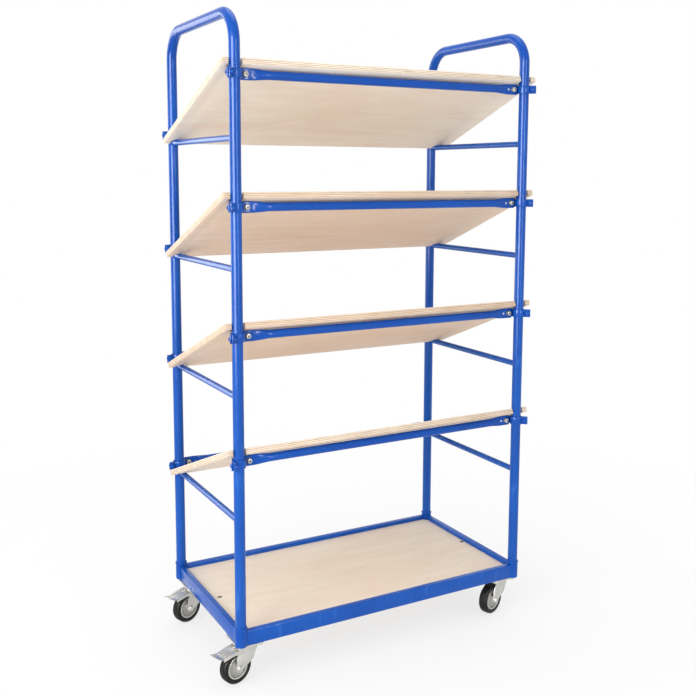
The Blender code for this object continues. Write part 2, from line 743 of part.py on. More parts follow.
def offset_path(path, distance):
    """A path moved sideways by a distance, with mitred corners."""
    points = [Vector(point) for point in path]
    moved = []
    for index, point in enumerate(points):
        before = point - points[index - 1] if index else points[1] - point
        after = points[index + 1] - point if index + 1 < len(points) else before
        normals = [Vector((-run.y, run.x)).normalized() for run in (before, after)]
        mitre = (normals[0] + normals[1]).normalized()
        moved.append(tuple(point + mitre * distance / mitre.dot(normals[0])))
    return moved


def pedal_path():
    """Upper side of the pedal from its head to its tip, from the pivot."""
    drop = PEDAL_PIVOT_DROP
    forward = PEDAL_PIVOT_FORWARD
    head = (0.0, PEDAL_HEAD_RISE + drop)
    bend = (-PEDAL_BEND_BACK - forward, drop + PEDAL_BEND_RISE)
    tail = (-PEDAL_TAIL_BACK - forward, drop - PEDAL_TAIL_DROP)
    tip = (-PEDAL_TIP_BACK - forward, drop + PEDAL_TIP_RISE)
    return [head, bend, tail, tip]


def pedal_flange():
    """Side flange of the pedal, from the pivot's boss to the tail."""
    head, bend, tail = offset_path(pedal_path(), PEDAL_SHEET / 2)[:3]
    boss = arc((0.0, 0.0), PEDAL_BOSS_RADIUS, math.pi / 4, -math.pi / 2, BEND_STEPS)
    waist = (-PEDAL_FLANGE_BACK - PEDAL_PIVOT_FORWARD, PEDAL_PIVOT_DROP - PEDAL_FLANGE_DROP)
    return [head] + boss + [waist, (tail[0], tail[1] - PEDAL_FLANGE_TAIL), tail, bend]


def pedal_solid():
    """Bent foot plate between two flanges that hang on the fork's pins."""
    path = pedal_path()
    foot_outline = path + offset_path(path, PEDAL_SHEET)[::-1]
    middle = (PEDAL_INNER + PEDAL_OUTER) / 2
    foot = plate([foot_outline], 2 * middle, AXIS_Y)
    flanges = []
    for sign in (-1, 1):
        side = Matrix.Translation((0.0, sign * middle, 0.0)) @ AXIS_Y
        flanges.append(plate([pedal_flange()], PEDAL_SHEET, side))
    combine(foot, "UNION", flanges)
    hole = flats_radius(PEDAL_PIN_RADIUS + CLEARANCE, PIN_SIDES)
    return combine(foot, "DIFFERENCE", [across_wheel(0.0, 0.0, 2 * PEDAL_OUTER, hole, PIN_SIDES)])


def make_casters(root, finishes):
    """Four casters, each turned as it was left; the two on the left have brakes."""
    turns = {
        "left_high": LEFT_HIGH_TURN,
        "left_low": LEFT_LOW_TURN,
        "right_high": RIGHT_HIGH_TURN,
        "right_low": RIGHT_LOW_TURN,
    }
    top = finished(caster_plate_solid(), finishes["zinc"])
    forks = {braked: finished(fork_solid(braked), finishes["zinc"]) for braked in (True, False)}
    rim = finished(rim_solid(), finishes["rim"])
    tyre = finished(tyre_solid(), finishes["rubber"])
    pedal = finished(pedal_solid(), finishes["zinc"])
    for side, row in corners():
        name = f"{'right' if side > 0 else 'left'}_{'low' if row > 0 else 'high'}"
        braked = side < 0
        x = side * (HALF_LENGTH - CASTER_INSET_LENGTH)
        y = row * (LOW_Y - CASTER_INSET_DEPTH)
        place(f"caster_plate_{name}", top, root, (x, y, 0.0))
        swivel = empty(f"swivel_{name}", root, (x, y, 0.0), turns[name])
        place(f"caster_fork_{name}", forks[braked], swivel)
        axle = (-CASTER_TRAIL, 0.0, AXLE_HEIGHT)
        place(f"wheel_rim_{name}", rim, swivel, axle)
        place(f"wheel_tyre_{name}", tyre, swivel, axle)
        if braked:
            pivot_x, pivot_z = pedal_pivot()
            place(f"brake_pedal_{name}", pedal, swivel, (pivot_x, 0.0, pivot_z))


def centre_on_floor(root):
    """Move the cart so that its outer box is centred over the origin."""
    bpy.context.view_layer.update()
    corners_of_parts = []
    for piece in bpy.data.collections[PARTS].objects:
        if piece.type == "MESH":
            corners_of_parts += [piece.matrix_world @ vertex.co for vertex in piece.data.vertices]
    for axis in (0, 1):
        values = [corner[axis] for corner in corners_of_parts]
        root.location[axis] = -(min(values) + max(values)) / 2


def main():
    """Build the cart."""
    start()
    finishes = make_materials()
    root = empty("cart")
    make_base_frame(root, finishes)
    make_deck(root, finishes)
    make_hoops(root, finishes)
    make_shelves(root, finishes)
    make_clamped_rails(root, finishes)
    make_casters(root, finishes)
    centre_on_floor(root)


if __name__ == "__main__":
    main()
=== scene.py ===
"""Dressed model of a sloped shelf cart.

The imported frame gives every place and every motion. Each sub-assembly below is a class that models
its pieces at the frame's own places, gives them a finish and lets them ride on the frame's bodies.

Metres, +Z up. X runs along the cart, the shelves' high side faces -Y and the floor is at Z = 0.
"""

import json
import logging
import math
from collections.abc import Iterable, Iterator, Sequence
from contextlib import contextmanager
from dataclasses import dataclass
from enum import Enum
from functools import lru_cache
from typing import Protocol

import bpy
from mathutils import Color, Matrix, Vector


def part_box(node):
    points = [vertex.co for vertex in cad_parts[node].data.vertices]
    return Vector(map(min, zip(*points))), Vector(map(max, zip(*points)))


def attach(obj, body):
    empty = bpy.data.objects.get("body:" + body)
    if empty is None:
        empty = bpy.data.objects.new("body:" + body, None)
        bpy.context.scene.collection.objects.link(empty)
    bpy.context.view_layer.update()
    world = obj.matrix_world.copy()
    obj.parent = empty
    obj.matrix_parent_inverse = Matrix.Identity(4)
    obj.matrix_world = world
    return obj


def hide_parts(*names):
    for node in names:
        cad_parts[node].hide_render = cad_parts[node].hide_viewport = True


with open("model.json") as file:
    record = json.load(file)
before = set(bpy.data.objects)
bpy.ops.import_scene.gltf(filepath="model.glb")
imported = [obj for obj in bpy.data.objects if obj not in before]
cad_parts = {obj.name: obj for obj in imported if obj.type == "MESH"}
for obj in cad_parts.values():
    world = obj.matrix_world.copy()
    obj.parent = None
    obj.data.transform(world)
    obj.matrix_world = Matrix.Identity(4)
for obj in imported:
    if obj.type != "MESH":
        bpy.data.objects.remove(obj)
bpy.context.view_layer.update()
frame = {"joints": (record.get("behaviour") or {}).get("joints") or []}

Piece = bpy.types.Object
Socket = bpy.types.NodeSocket
Flat = tuple[float, float]
Place = tuple[float, float, float]
Profile = tuple[Flat, ...]

LOG = logging.getLogger("sloped_shelf_cart")
TIERS = (1, 2, 3, 4)
QUARTER = math.pi / 2
SMOOTH_ANGLE = math.radians(32.0)
MERGE_DISTANCE = 0.000002
BLOCK_STEPS = 3
CORNER_CUT = 0.25
CORNER_SIGNS = ((1, 1), (-1, 1), (-1, -1), (1, -1))
NOISE_RANGE = (0.3, 0.7)  # most values of a soft noise
EDGE_RANGE = (0.52, 0.60)  # pointiness, from a flat face to a clear edge


class Hand(Enum):
    """End of the cart along X, spelt as the nodes spell it."""

    LEFT = "left"
    RIGHT = "right"


class Row(Enum):
    """Long side of the cart along Y, named for the shelf edge above it."""

    HIGH = "high"
    LOW = "low"


# Places


def at(x: float, y: float, z: float) -> Matrix:
    """A move to a place."""
    return Matrix.Translation((x, y, z))


def turn(angle: float, axis: str) -> Matrix:
    """A turn about one of the axes."""
    return Matrix.Rotation(angle, 4, axis)


ALONG_Y = turn(QUARTER, "X")


def middle_of(node: str) -> Vector:
    """Middle of a node's box."""
    low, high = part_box(node)
    return (low + high) / 2


def uprights() -> tuple[Flat, Flat]:
    """Places of the uprights' axes.

    Returns:
        Their X values, left and right, and their Y values, high side and low side.
    """
    low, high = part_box("hoop_left")
    radius = (high.x - low.x) / 2
    left, right = (middle_of(f"hoop_{hand.value}").x for hand in Hand)
    return (left, right), (low.y + radius, high.y - radius)


# Modelling tools


def hold(piece: Piece) -> Piece:
    """Select one piece alone and make it the active one.

    Args:
        piece: The piece to work on.

    Returns:
        The same piece.
    """
    bpy.ops.object.select_all(action="DESELECT")
    piece.select_set(True)
    bpy.context.view_layer.objects.active = piece
    return piece


def named(piece: Piece, name: str) -> Piece:
    """Give a piece and its mesh one name."""
    piece.name = piece.data.name = name
    return piece


def fresh(name: str) -> Piece:
    """Name the primitive that was just added and put its place into its mesh.

    Args:
        name: Name of the new piece.

    Returns:
        The new piece.
    """
    piece = named(hold(bpy.context.active_object), name)
    bpy.ops.object.transform_apply(location=True, rotation=True, scale=True)
    return piece


@contextmanager
def editing(piece: Piece) -> Iterator[None]:
    """Edit mode on one piece, with all of its mesh selected.

    Args:
        piece: The piece to edit.

    Yields:
        Nothing; object mode is back on afterwards.
    """
    hold(piece)
    bpy.ops.object.mode_set(mode="EDIT")
    bpy.ops.mesh.select_all(action="SELECT")
    yield
    bpy.ops.object.mode_set(mode="OBJECT")


def extrude(step: Place) -> None:
    """Extrude what is selected by a step."""
    bpy.ops.mesh.extrude_region_move(TRANSFORM_OT_translate={"value": step})


def close_up(piece: Piece) -> Piece:
    """Merge a piece's doubled corners and turn its faces outwards.

    Args:
        piece: The piece to close.

    Returns:
        The same piece.
    """
    with editing(piece):
        bpy.ops.mesh.remove_doubles(threshold=MERGE_DISTANCE)
        bpy.ops.mesh.normals_make_consistent(inside=False)
    return piece


def soften(piece: Piece, edge: float = 0.0, segments: int = 2) -> Piece:
    """Round a piece's sharp edges and shade its curves smoothly.

    Args:
        piece: The piece to finish.
        edge: Width of the rounding, none if 0.
        segments: Steps across the rounding.

    Returns:
        The same piece.
    """
    hold(piece)
    if edge > 0.0:
        rounding = piece.modifiers.new("edges", "BEVEL")
        rounding.width = edge
        rounding.segments = segments
        rounding.limit_method = "ANGLE"
        rounding.angle_limit = SMOOTH_ANGLE
        bpy.ops.object.modifier_apply(modifier="edges")
    bpy.ops.object.shade_smooth_by_angle(angle=SMOOTH_ANGLE)
    return piece


def slab(name: str, outline: Sequence[Flat], thickness: float, edge: float = 0.0) -> Piece:
    """A plate of any outline in XY, half of it on each side of the plane.

    Args:
        name: Name of the plate.
        outline: Corners in order.
        thickness: Thickness along Z.
        edge: Rounding of its edges.

    Returns:
        The plate.
    """
    bpy.ops.mesh.primitive_circle_add(vertices=len(outline), radius=thickness, fill_type="NGON")
    plate = fresh(name)
    for corner, (x, y) in zip(plate.data.vertices, outline):
        corner.co = (x, y, -thickness / 2)
    with editing(plate):
        extrude((0.0, 0.0, thickness))
    return soften(close_up(plate), edge)


def turned(name: str, profile: Sequence[Flat], steps: int) -> Piece:
    """A body turned about Z.

    Args:
        name: Name of the body.
        profile: Closed profile of (radius, height) points.
        steps: Steps round the axis.

    Returns:
        The turned body.
    """
    bpy.ops.mesh.primitive_circle_add(vertices=len(profile), radius=1.0, fill_type="NOTHING")
    body = fresh(name)
    for corner, (radius, height) in zip(body.data.vertices, profile):
        corner.co = (radius, 0.0, height)
    with editing(body):
        bpy.ops.mesh.spin(steps=steps, angle=math.tau, center=(0.0, 0.0, 0.0), axis=(0.0, 0.0, 1.0))
    return soften(close_up(body))


def button(name: str, radius: float, profile: Sequence[Flat], steps: int) -> Piece:
    """A small turned head, its profile in shares of the radius and heights."""
    return turned(name, [(share * radius, height) for share, height in profile], steps)


def rod(name: str, radius: float, length: float, sides: int) -> Piece:
    """A round bar along Z, half of it on each side of the plane."""
    bpy.ops.mesh.primitive_cylinder_add(vertices=sides, radius=radius, depth=length)
    return soften(fresh(name))


def block(name: str, first: Sequence[float], last: Sequence[float], edge: float) -> Piece:
    """A bar with rounded edges between two opposite corners.

    Args:
        name: Name of the bar.
        first: One corner.
        last: The corner opposite.
        edge: Rounding of its edges.

    Returns:
        The bar.
    """
    middle = (Vector(first) + Vector(last)) / 2
    sides = [abs(side) for side in Vector(last) - Vector(first)]
    bpy.ops.mesh.primitive_cube_add(size=1.0, location=middle, scale=sides)
    return soften(fresh(name), edge, BLOCK_STEPS)


def moved(piece: Piece, matrix: Matrix) -> Piece:
    """Move a piece's mesh, keeping its faces outwards.

    Args:
        piece: The piece to move.
        matrix: The move; a mirroring one is allowed.

    Returns:
        The same piece.
    """
    piece.data.transform(matrix)
    if matrix.determinant() < 0.0:
        piece.data.flip_normals()
    return piece


def copied(template: Piece, name: str, matrix: Matrix) -> Piece:
    """A copy of a template with a mesh of its own.

    Args:
        template: The piece to copy.
        name: Name of the copy.
        matrix: Place of the copy.

    Returns:
        The copy.
    """
    piece = named(bpy.data.objects.new(name, template.data.copy()), name)
    bpy.context.scene.collection.objects.link(piece)
    return moved(piece, matrix)


def put_away(templates: Iterable[Piece]) -> None:
    """Remove templates that have been copied."""
    for template in templates:
        bpy.data.objects.remove(template)


def repeated(template: Piece, places: Iterable[Matrix]) -> list[Piece]:
    """Copy a template to several places and remove it.

    Args:
        template: The piece to copy.
        places: Place of each copy.

    Returns:
        The copies.
    """
    copies = [copied(template, template.name, place) for place in places]
    put_away([template])
    return copies


def joined(name: str, parts: Sequence[Piece]) -> Piece:
    """Join several bodies into one piece.

    Args:
        name: Name of the piece.
        parts: The bodies, which become one.

    Returns:
        The joined piece.
    """
    hold(parts[0])
    for part in parts:
        part.select_set(True)
    bpy.ops.object.join()
    return named(bpy.context.active_object, name)


def arc(centre: Flat, radius: float, first: float, last: float, steps: int) -> list[Flat]:
    """Points along an arc, in steps from the first angle to the last, both included."""
    angles = [first + (last - first) * step / steps for step in range(steps + 1)]
    return [(centre[0] + radius * math.cos(a), centre[1] + radius * math.sin(a)) for a in angles]


def gentle(share: float) -> float:
    """A share from 0 to 1 that starts and ends without a kink."""
    return share * share * (3.0 - 2.0 * share)


def mirrored(half_profile: Sequence[Flat]) -> list[Flat]:
    """A closed profile from its upper half, which is repeated below the plane."""
    return [*half_profile, *[(radius, -height) for radius, height in reversed(half_profile)]]


def rounded_rectangle(half_x: float, half_y: float, radius: float, steps: int = 5) -> list[Flat]:
    """Outline of a centred rectangle with round corners.

    Args:
        half_x: Half its length.
        half_y: Half its depth.
        radius: Radius of the corners.
        steps: Steps round each corner.

    Returns:
        The outline.
    """
    outline: list[Flat] = []
    for quarter, (x, y) in enumerate(CORNER_SIGNS):
        centre = (x * (half_x - radius), y * (half_y - radius))
        outline += arc(centre, radius, quarter * QUARTER, (quarter + 1) * QUARTER, steps)
    return outline


def eased(path: Sequence[Flat], rounds: int) -> list[Flat]:
    """A path with its inner corners cut round.

    Args:
        path: Points of the path.
        rounds: How often every corner is cut.

    Returns:
        The eased path.
    """
    points = [Vector(point) for point in path]
    for _ in range(rounds):
        cut = []
        for first, second in zip(points, points[1:]):
            cut += [first.lerp(second, share) for share in (CORNER_CUT, 1.0 - CORNER_CUT)]
        points = [points[0], *cut[1:-1], points[-1]]
    return [(point.x, point.y) for point in points]


def beside(path: Sequence[Flat], distance: float) -> list[Flat]:
    """A path moved sideways, to the left of its run.

    Args:
        path: Points of the path.
        distance: How far it is moved.

    Returns:
        The moved path.
    """
    points = [Vector(point) for point in path]
    result: list[Flat] = []
    for index, point in enumerate(points):
        run = points[min(index + 1, len(points) - 1)] - points[max(index - 1, 0)]
        side = Vector((-run.y, run.x)).normalized()
        result.append(tuple(point + side * distance))
    return result


# Finishes


@dataclass(frozen=True)
class Tint:
    """A display colour, 0 to 255 in each channel."""

    red: int
    green: int
    blue: int

    def linear(self) -> tuple[float, ...]:
        """The colour in linear light, with a full alpha."""
        shown = Color([value / 255 for value in (self.red, self.green, self.blue)])
        return (*shown.from_srgb_to_scene_linear(), 1.0)


WHITE = Tint(255, 255, 255)


@dataclass(frozen=True)
class Grain:
    """A soft noise: its coarseness, the window of its values that shows, and how much they show."""

    scale: float
    detail: float
    twist: float = 0.0
    stretch: Place | None = None
    window: Flat = NOISE_RANGE
    share: float = 1.0


class NodeBench:
    """Node tree of a material or a world, with short names for the nodes it is wired from."""

    COLOUR_INPUTS = (6, 7)
    COLOUR_OUTPUT = 2

    def __init__(self, owner: bpy.types.Material | bpy.types.World) -> None:
        """Open a node tree.

        Args:
            owner: What the tree belongs to.
        """
        owner.use_nodes = True
        self.tree = owner.node_tree
        self.coordinates = self.node("TexCoord").outputs

    @property
    def place(self) -> Socket:
        """Coordinates in the piece's own space."""
        return self.coordinates["Object"]

    def feed(self, value: object, socket: Socket) -> None:
        """Wire a socket into another, or set it to a plain value.

        Args:
            value: An output socket, a tint or a number.
            socket: The input to fill.
        """
        if isinstance(value, Socket):
            self.tree.links.new(value, socket)
        else:
            socket.default_value = value.linear() if isinstance(value, Tint) else value

    def fill(self, node: bpy.types.Node, **values: object) -> None:
        """Fill a node's inputs, which are spelt with underscores."""
        for key, value in values.items():
            self.feed(value, node.inputs[key.replace("_", " ").title().replace("Ior", "IOR")])

    def node(self, kind: str, **values: object) -> bpy.types.Node:
        """A new node with some of its inputs filled.

        Args:
            kind: Kind of shader node.
            values: Values of the inputs, which are spelt with underscores.

        Returns:
            The node.
        """
        node = self.tree.nodes.new(f"ShaderNode{kind}")
        self.fill(node, **values)
        return node

    def on_board(self, centre: Place, tilt: float) -> Socket:
        """Coordinates of a board that is tilted about X, from its own pivot.

        Args:
            centre: The pivot.
            tilt: Angle of the tilt.

        Returns:
            The coordinates.
        """
        lean = (tilt, 0.0, 0.0)
        mapping = self.node("Mapping", location=centre, rotation=lean, vector=self.place)
        mapping.vector_type = "TEXTURE"
        return mapping.outputs["Vector"]

    def noise(
        self, grain: Grain, place: Socket | None = None, shift: Place = (0.0, 0.0, 0.0)
    ) -> Socket:
        """Soft noise.

        Args:
            grain: Its coarseness.
            place: Coordinates it lies on, if not the piece's own.
            shift: Shift of stretched coordinates.

        Returns:
            Its value.
        """
        vector = self.place if place is None else place
        if grain.stretch:
            mapping = self.node("Mapping", scale=grain.stretch, location=shift, vector=vector)
            vector = mapping.outputs["Vector"]
        texture = self.node("TexNoise", scale=grain.scale, detail=grain.detail,
                            distortion=grain.twist, vector=vector)
        return texture.outputs["Fac"]

    def cells(self, scale: float) -> Socket:
        """Grey value of irregular cells, as on zinc."""
        texture = self.node("TexVoronoi", scale=scale, vector=self.place)
        return self.node("SeparateColor", color=texture.outputs["Color"]).outputs["Red"]

    def spread(self, value: Socket, window: Flat, result: Flat = (0.0, 1.0)) -> Socket:
        """Spread a value from one range to another and clamp it there.

        Args:
            value: The value.
            window: Range that is looked at.
            result: Range that it becomes.

        Returns:
            The spread value.
        """
        node = self.node("MapRange", value=value, from_min=window[0], from_max=window[1],
                         to_min=result[0], to_max=result[1])
        return node.outputs["Result"]

    def shown(self, grain: Grain, noise: Socket | None = None) -> Socket:
        """How much of a noise shows, from none to its share; it is made if it isn't given."""
        value = self.noise(grain) if noise is None else noise
        return self.spread(value, grain.window, (0.0, grain.share))

    def calc(self, operation: str, *values: object, kind: str = "Math") -> Socket:
        """One sum.

        Args:
            operation: Name of the operation.
            values: Its values or sockets.
            kind: Math, or VectorMath for vectors.

        Returns:
            The result.
        """
        node = self.node(kind)
        node.operation = operation
        for value, socket in zip(values, node.inputs):
            self.feed(value, socket)
        return node.outputs["Value"]

    def blend(self, share: Socket, *colours: Socket | Tint) -> Socket:
        """Mix two colours.

        Args:
            share: Share of the second colour.
            colours: The two colours.

        Returns:
            The mixed colour.
        """
        node = self.node("Mix", factor=share)
        node.data_type = "RGBA"
        for colour, index in zip(colours, self.COLOUR_INPUTS):
            self.feed(colour, node.inputs[index])
        return node.outputs[self.COLOUR_OUTPUT]

    def relief(self, height: Socket, strength: float, depth: float) -> Socket:
        """A normal with bumps of a depth in metres."""
        return self.node("Bump", strength=strength, distance=depth, height=height).outputs["Normal"]

    def ridges(self, window: Flat, result: Flat = (0.0, 1.0)) -> Socket:
        """How much a point stands out as an edge, spread as any value is."""
        return self.spread(self.node("NewGeometry").outputs["Pointiness"], window, result)

    def seen(self) -> Socket:
        """Light paths that see the surroundings as a white background.

        Returns:
            1 for those paths and 0 for the others.
        """
        paths = self.node("LightPath").outputs
        total = paths["Is Camera Ray"]
        for key in ("Is Glossy Ray", "Is Transmission Ray"):
            total = self.calc("MAXIMUM", total, paths[key])
        return total

    def show(self, output: str, share: Socket, *shaders: Socket) -> None:
        """Mix two shaders into the tree's output.

        Args:
            output: Name of the output node.
            share: Share of the second shader.
            shaders: The two shaders.
        """
        mix = self.node("MixShader")
        for value, socket in zip((share, *shaders), mix.inputs):
            self.feed(value, socket)
        self.fill(self.tree.nodes[output], surface=mix.outputs["Shader"])


class FinishBench(NodeBench):
    """Node tree of a new material with its Principled shader."""

    def __init__(self, name: str) -> None:
        """Open the material.

        Args:
            name: Name of the material.
        """
        self.material = bpy.data.materials.new(name)
        super().__init__(self.material)
        self.shader = self.tree.nodes["Principled BSDF"]

    def surface(self, **values: object) -> bpy.types.Material:
        """Fill the Principled shader's inputs, spelt with underscores, and give the material."""
        self.fill(self.shader, **values)
        return self.material


class Finish(Protocol):
    """What every finish offers."""

    name: str
    slot: str

    def make(self) -> bpy.types.Material:
        """Build the finish's material."""


@dataclass(frozen=True)
class PowderCoat:
    """Glossy blue powder coat with a fine orange-peel skin and lightly rubbed edges."""

    name: str = "powder_coat"
    slot: str = "blue_powder_coat"
    body: Tint = Tint(0, 82, 182)
    deep: Tint = Tint(0, 72, 167)
    rubbed: Tint = Tint(56, 122, 206)
    roughness: Flat = (0.14, 0.24)
    specular: float = 0.25
    wear: float = 0.55
    least_scuff: float = 0.35
    edges: Flat = (0.515, 0.58)
    drift: Grain = Grain(4.0, 3.0, window=(0.35, 0.65))
    scuffs: Grain = Grain(1.0, 4.0, stretch=(60.0, 60.0, 14.0), window=(0.62, 0.72))
    haze: Grain = Grain(30.0, 3.0)
    peel: Grain = Grain(520.0, 1.0)
    peel_strength: float = 0.05
    peel_depth: float = 0.0002

    def make(self) -> bpy.types.Material:
        """Build the coat.

        Returns:
            Its material.
        """
        bench = FinishBench(self.name)
        coat = bench.blend(bench.shown(self.drift), self.deep, self.body)
        edges = bench.calc("MULTIPLY", bench.ridges(self.edges), self.wear)
        scuffs = bench.calc("ADD", bench.shown(self.scuffs), self.least_scuff)
        worn = bench.calc("MULTIPLY", edges, scuffs)
        return bench.surface(
            base_color=bench.blend(worn, coat, self.rubbed),
            roughness=bench.spread(bench.noise(self.haze), self.haze.window, self.roughness),
            normal=bench.relief(bench.noise(self.peel), self.peel_strength, self.peel_depth),
            specular_ior_level=self.specular,
        )


@dataclass(frozen=True)
class Plywood:
    """Pale birch plywood: quiet face veneer with fine flecks, and plies that show on its edges."""

    name: str
    centre: Place
    tilt: float
    thickness: float
    plies: int
    # Share of tan added to the figure: partly the board's own tone, partly painted shade on some
    # boards.
    tan_and_shade: float
    slot: str = "birch_plywood"
    pale: Tint = Tint(250, 240, 223)
    tan: Tint = Tint(235, 208, 181)
    rosy: Tint = Tint(245, 222, 205)
    fleck: Tint = Tint(176, 146, 118)
    cross_ply: Tint = Tint(188, 158, 124)
    roughness: Flat = (0.50, 0.64)
    specular: float = 0.35
    figure_shift: Flat = (7.0, 3.0)
    figure: Grain = Grain(1.5, 5.0, 0.5, (2.4, 20.0, 3.0), (0.34, 0.70), 0.30)
    clouds: Grain = Grain(1.3, 3.0, stretch=(2.6, 3.6, 2.0), window=(0.45, 0.75), share=0.6)
    pores: Grain = Grain(1.0, 3.0, stretch=(16.0, 420.0, 60.0), window=(0.56, 0.80), share=0.22)
    flecks: Grain = Grain(1.0, 1.0, stretch=(28.0, 150.0, 30.0), window=(0.75, 0.84), share=0.6)
    veneer_share: float = 0.35
    ply_edges: Flat = (0.50, 0.66)
    ply_share: float = 0.85
    ply_raggedness: float = 0.12
    ply_sink: float = 0.5
    relief_strength: float = 0.20
    relief_depth: float = 0.0004

    def make(self) -> bpy.types.Material:
        """Build the board's veneer and plies.

        Returns:
            Its material.
        """
        bench = FinishBench(self.name)
        board = bench.on_board(self.centre, self.tilt)
        shift = (*(self.centre[2] * factor for factor in self.figure_shift), 0.0)
        grains = (self.figure, self.clouds, self.pores, self.flecks)
        figure, clouds, pores, flecks = (bench.noise(grain, board, shift) for grain in grains)
        # Share of tan from the figure and the board's tone, which holds painted shade on some
        # boards.
        tan_and_shade_mix = bench.calc("ADD", bench.shown(self.figure, figure), self.tan_and_shade)
        face = bench.blend(tan_and_shade_mix, self.pale, self.tan)
        tints = (self.rosy, self.fleck, self.fleck)
        for grain, noise, tint in zip(grains[1:], (clouds, pores, flecks), tints):
            face = bench.blend(bench.shown(grain, noise), face, tint)
        inside = self.inside(bench, board, pores)
        height = bench.calc("SUBTRACT", pores, bench.calc("MULTIPLY", inside, self.ply_sink))
        return bench.surface(
            base_color=bench.blend(inside, face, self.cross_ply),
            roughness=bench.spread(figure, NOISE_RANGE, self.roughness),
            normal=bench.relief(height, self.relief_strength, self.relief_depth),
            specular_ior_level=self.specular,
        )

    def inside(self, bench: FinishBench, board: Socket, pores: Socket) -> Socket:
        """How much of a point is a crossing ply, which shows only between the face veneers.

        Args:
            bench: The board's node tree.
            board: Coordinates of the board, Z through its thickness.
            pores: Noise that makes the plies ragged.

        Returns:
            The share of the crossing ply.
        """
        depth = bench.node("SeparateXYZ", vector=board).outputs["Z"]
        layer = self.thickness / self.plies
        wave = bench.calc("PINGPONG", bench.calc("DIVIDE", depth, layer), 1.0)
        ragged = (-self.ply_raggedness, self.ply_raggedness)
        wave = bench.calc("ADD", wave, bench.spread(pores, NOISE_RANGE, ragged))
        crossing = bench.spread(wave, self.ply_edges, (0.0, self.ply_share))
        veneer = layer * self.veneer_share
        above = bench.calc("GREATER_THAN", depth, veneer)
        below = bench.calc("LESS_THAN", depth, self.thickness - veneer)
        return bench.calc("MULTIPLY", crossing, bench.calc("MULTIPLY", above, below))


@dataclass(frozen=True)
class Zinc:
    """Bright zinc plate with a faint spangle and handling marks."""

    name: str = "zinc_plate"
    slot: str = "bright_zinc"
    light: Tint = Tint(216, 215, 209)
    dull: Tint = Tint(188, 187, 182)
    metallic: float = 0.7
    roughness: Flat = (0.28, 0.42)
    spangle_scale: float = 420.0
    spangle_share: float = 0.20
    clouds: Grain = Grain(28.0, 3.0)
    brushing: Grain = Grain(1.0, 2.0, stretch=(900.0, 900.0, 90.0))
    brushing_strength: float = 0.06
    brushing_depth: float = 0.0002

    def make(self) -> bpy.types.Material:
        """Build the plating.

        Returns:
            Its material.
        """
        bench = FinishBench(self.name)
        clouds = bench.noise(self.clouds)
        spangle = bench.calc("MULTIPLY", bench.cells(self.spangle_scale), self.spangle_share)
        tone = bench.calc("ADD", spangle, bench.calc("MULTIPLY", clouds, 1.0 - self.spangle_share))
        brushing = bench.noise(self.brushing)
        return bench.surface(
            base_color=bench.blend(bench.spread(tone, NOISE_RANGE), self.dull, self.light),
            metallic=self.metallic,
            roughness=bench.spread(clouds, self.clouds.window, self.roughness),
            normal=bench.relief(brushing, self.brushing_strength, self.brushing_depth),
        )


@dataclass(frozen=True)
class RimGrey:
    """Light grey wheel centre with some dust, and painted shade that darkens its hollows."""

    name: str = "wheel_grey"
    slot: str = "grey_rim"
    clean: Tint = Tint(196, 195, 189)
    # Grey of dust, also used for the painted shade in the hollows.
    dust_and_shade: Tint = Tint(146, 143, 136)
    roughness: Flat = (0.34, 0.52)
    shaded_hollows: Flat = (0.42, 0.50)
    hollow_shade: float = 0.7
    dust_share: float = 0.5
    dust: Grain = Grain(70.0, 5.0, window=(0.40, 0.68))
    skin: Grain = Grain(900.0, 1.0)
    skin_strength: float = 0.08
    skin_depth: float = 0.0002

    def make(self) -> bpy.types.Material:
        """Build the wheel centre's skin.

        Returns:
            Its material.
        """
        bench = FinishBench(self.name)
        dust = bench.shown(self.dust)
        # Painted shade: hollows, found by their low pointiness, are darkened towards the dust grey.
        shaded_hollows = bench.ridges(self.shaded_hollows, (self.hollow_shade, 0.0))
        dust_and_painted_light = bench.calc("MAXIMUM", bench.calc("MULTIPLY", dust, self.dust_share), shaded_hollows)
        return bench.surface(
            base_color=bench.blend(dust_and_painted_light, self.clean, self.dust_and_shade),
            roughness=bench.spread(dust, (0.0, 1.0), self.roughness),
            normal=bench.relief(bench.noise(self.skin), self.skin_strength, self.skin_depth),
        )


@dataclass(frozen=True)
class Rubber:
    """Black rubber with a matt moulded skin, some floor dust, and a painted highlight that makes its
    edges lighter grey.
    """

    name: str = "tyre_rubber"
    slot: str = "black_rubber"
    black: Tint = Tint(10, 9, 9)
    # Grey of dust, also used for the painted highlight on the edges.
    dust: Tint = Tint(48, 45, 41)
    roughness: Flat = (0.40, 0.70)
    specular: float = 0.25
    edge_highlight: float = 0.8
    patches: Grain = Grain(38.0, 5.0, window=(0.48, 0.75), share=0.55)
    matt_range: Flat = (0.0, 0.5)
    skin: Grain = Grain(1400.0, 2.0)
    skin_strength: float = 0.20
    skin_depth: float = 0.0003

    def make(self) -> bpy.types.Material:
        """Build the rubber.

        Returns:
            Its material.
        """
        bench = FinishBench(self.name)
        patches = bench.shown(self.patches)
        # Painted highlight: edges, found by their pointiness, turn lighter grey; dust patches come
        # in as well.
        dust_and_painted_light = bench.calc("MAXIMUM", patches, bench.ridges(EDGE_RANGE, (0.0, self.edge_highlight)))
        return bench.surface(
            base_color=bench.blend(dust_and_painted_light, self.black, self.dust),
            roughness=bench.spread(patches, self.matt_range, self.roughness),
            normal=bench.relief(bench.noise(self.skin), self.skin_strength, self.skin_depth),
            specular_ior_level=self.specular,
        )


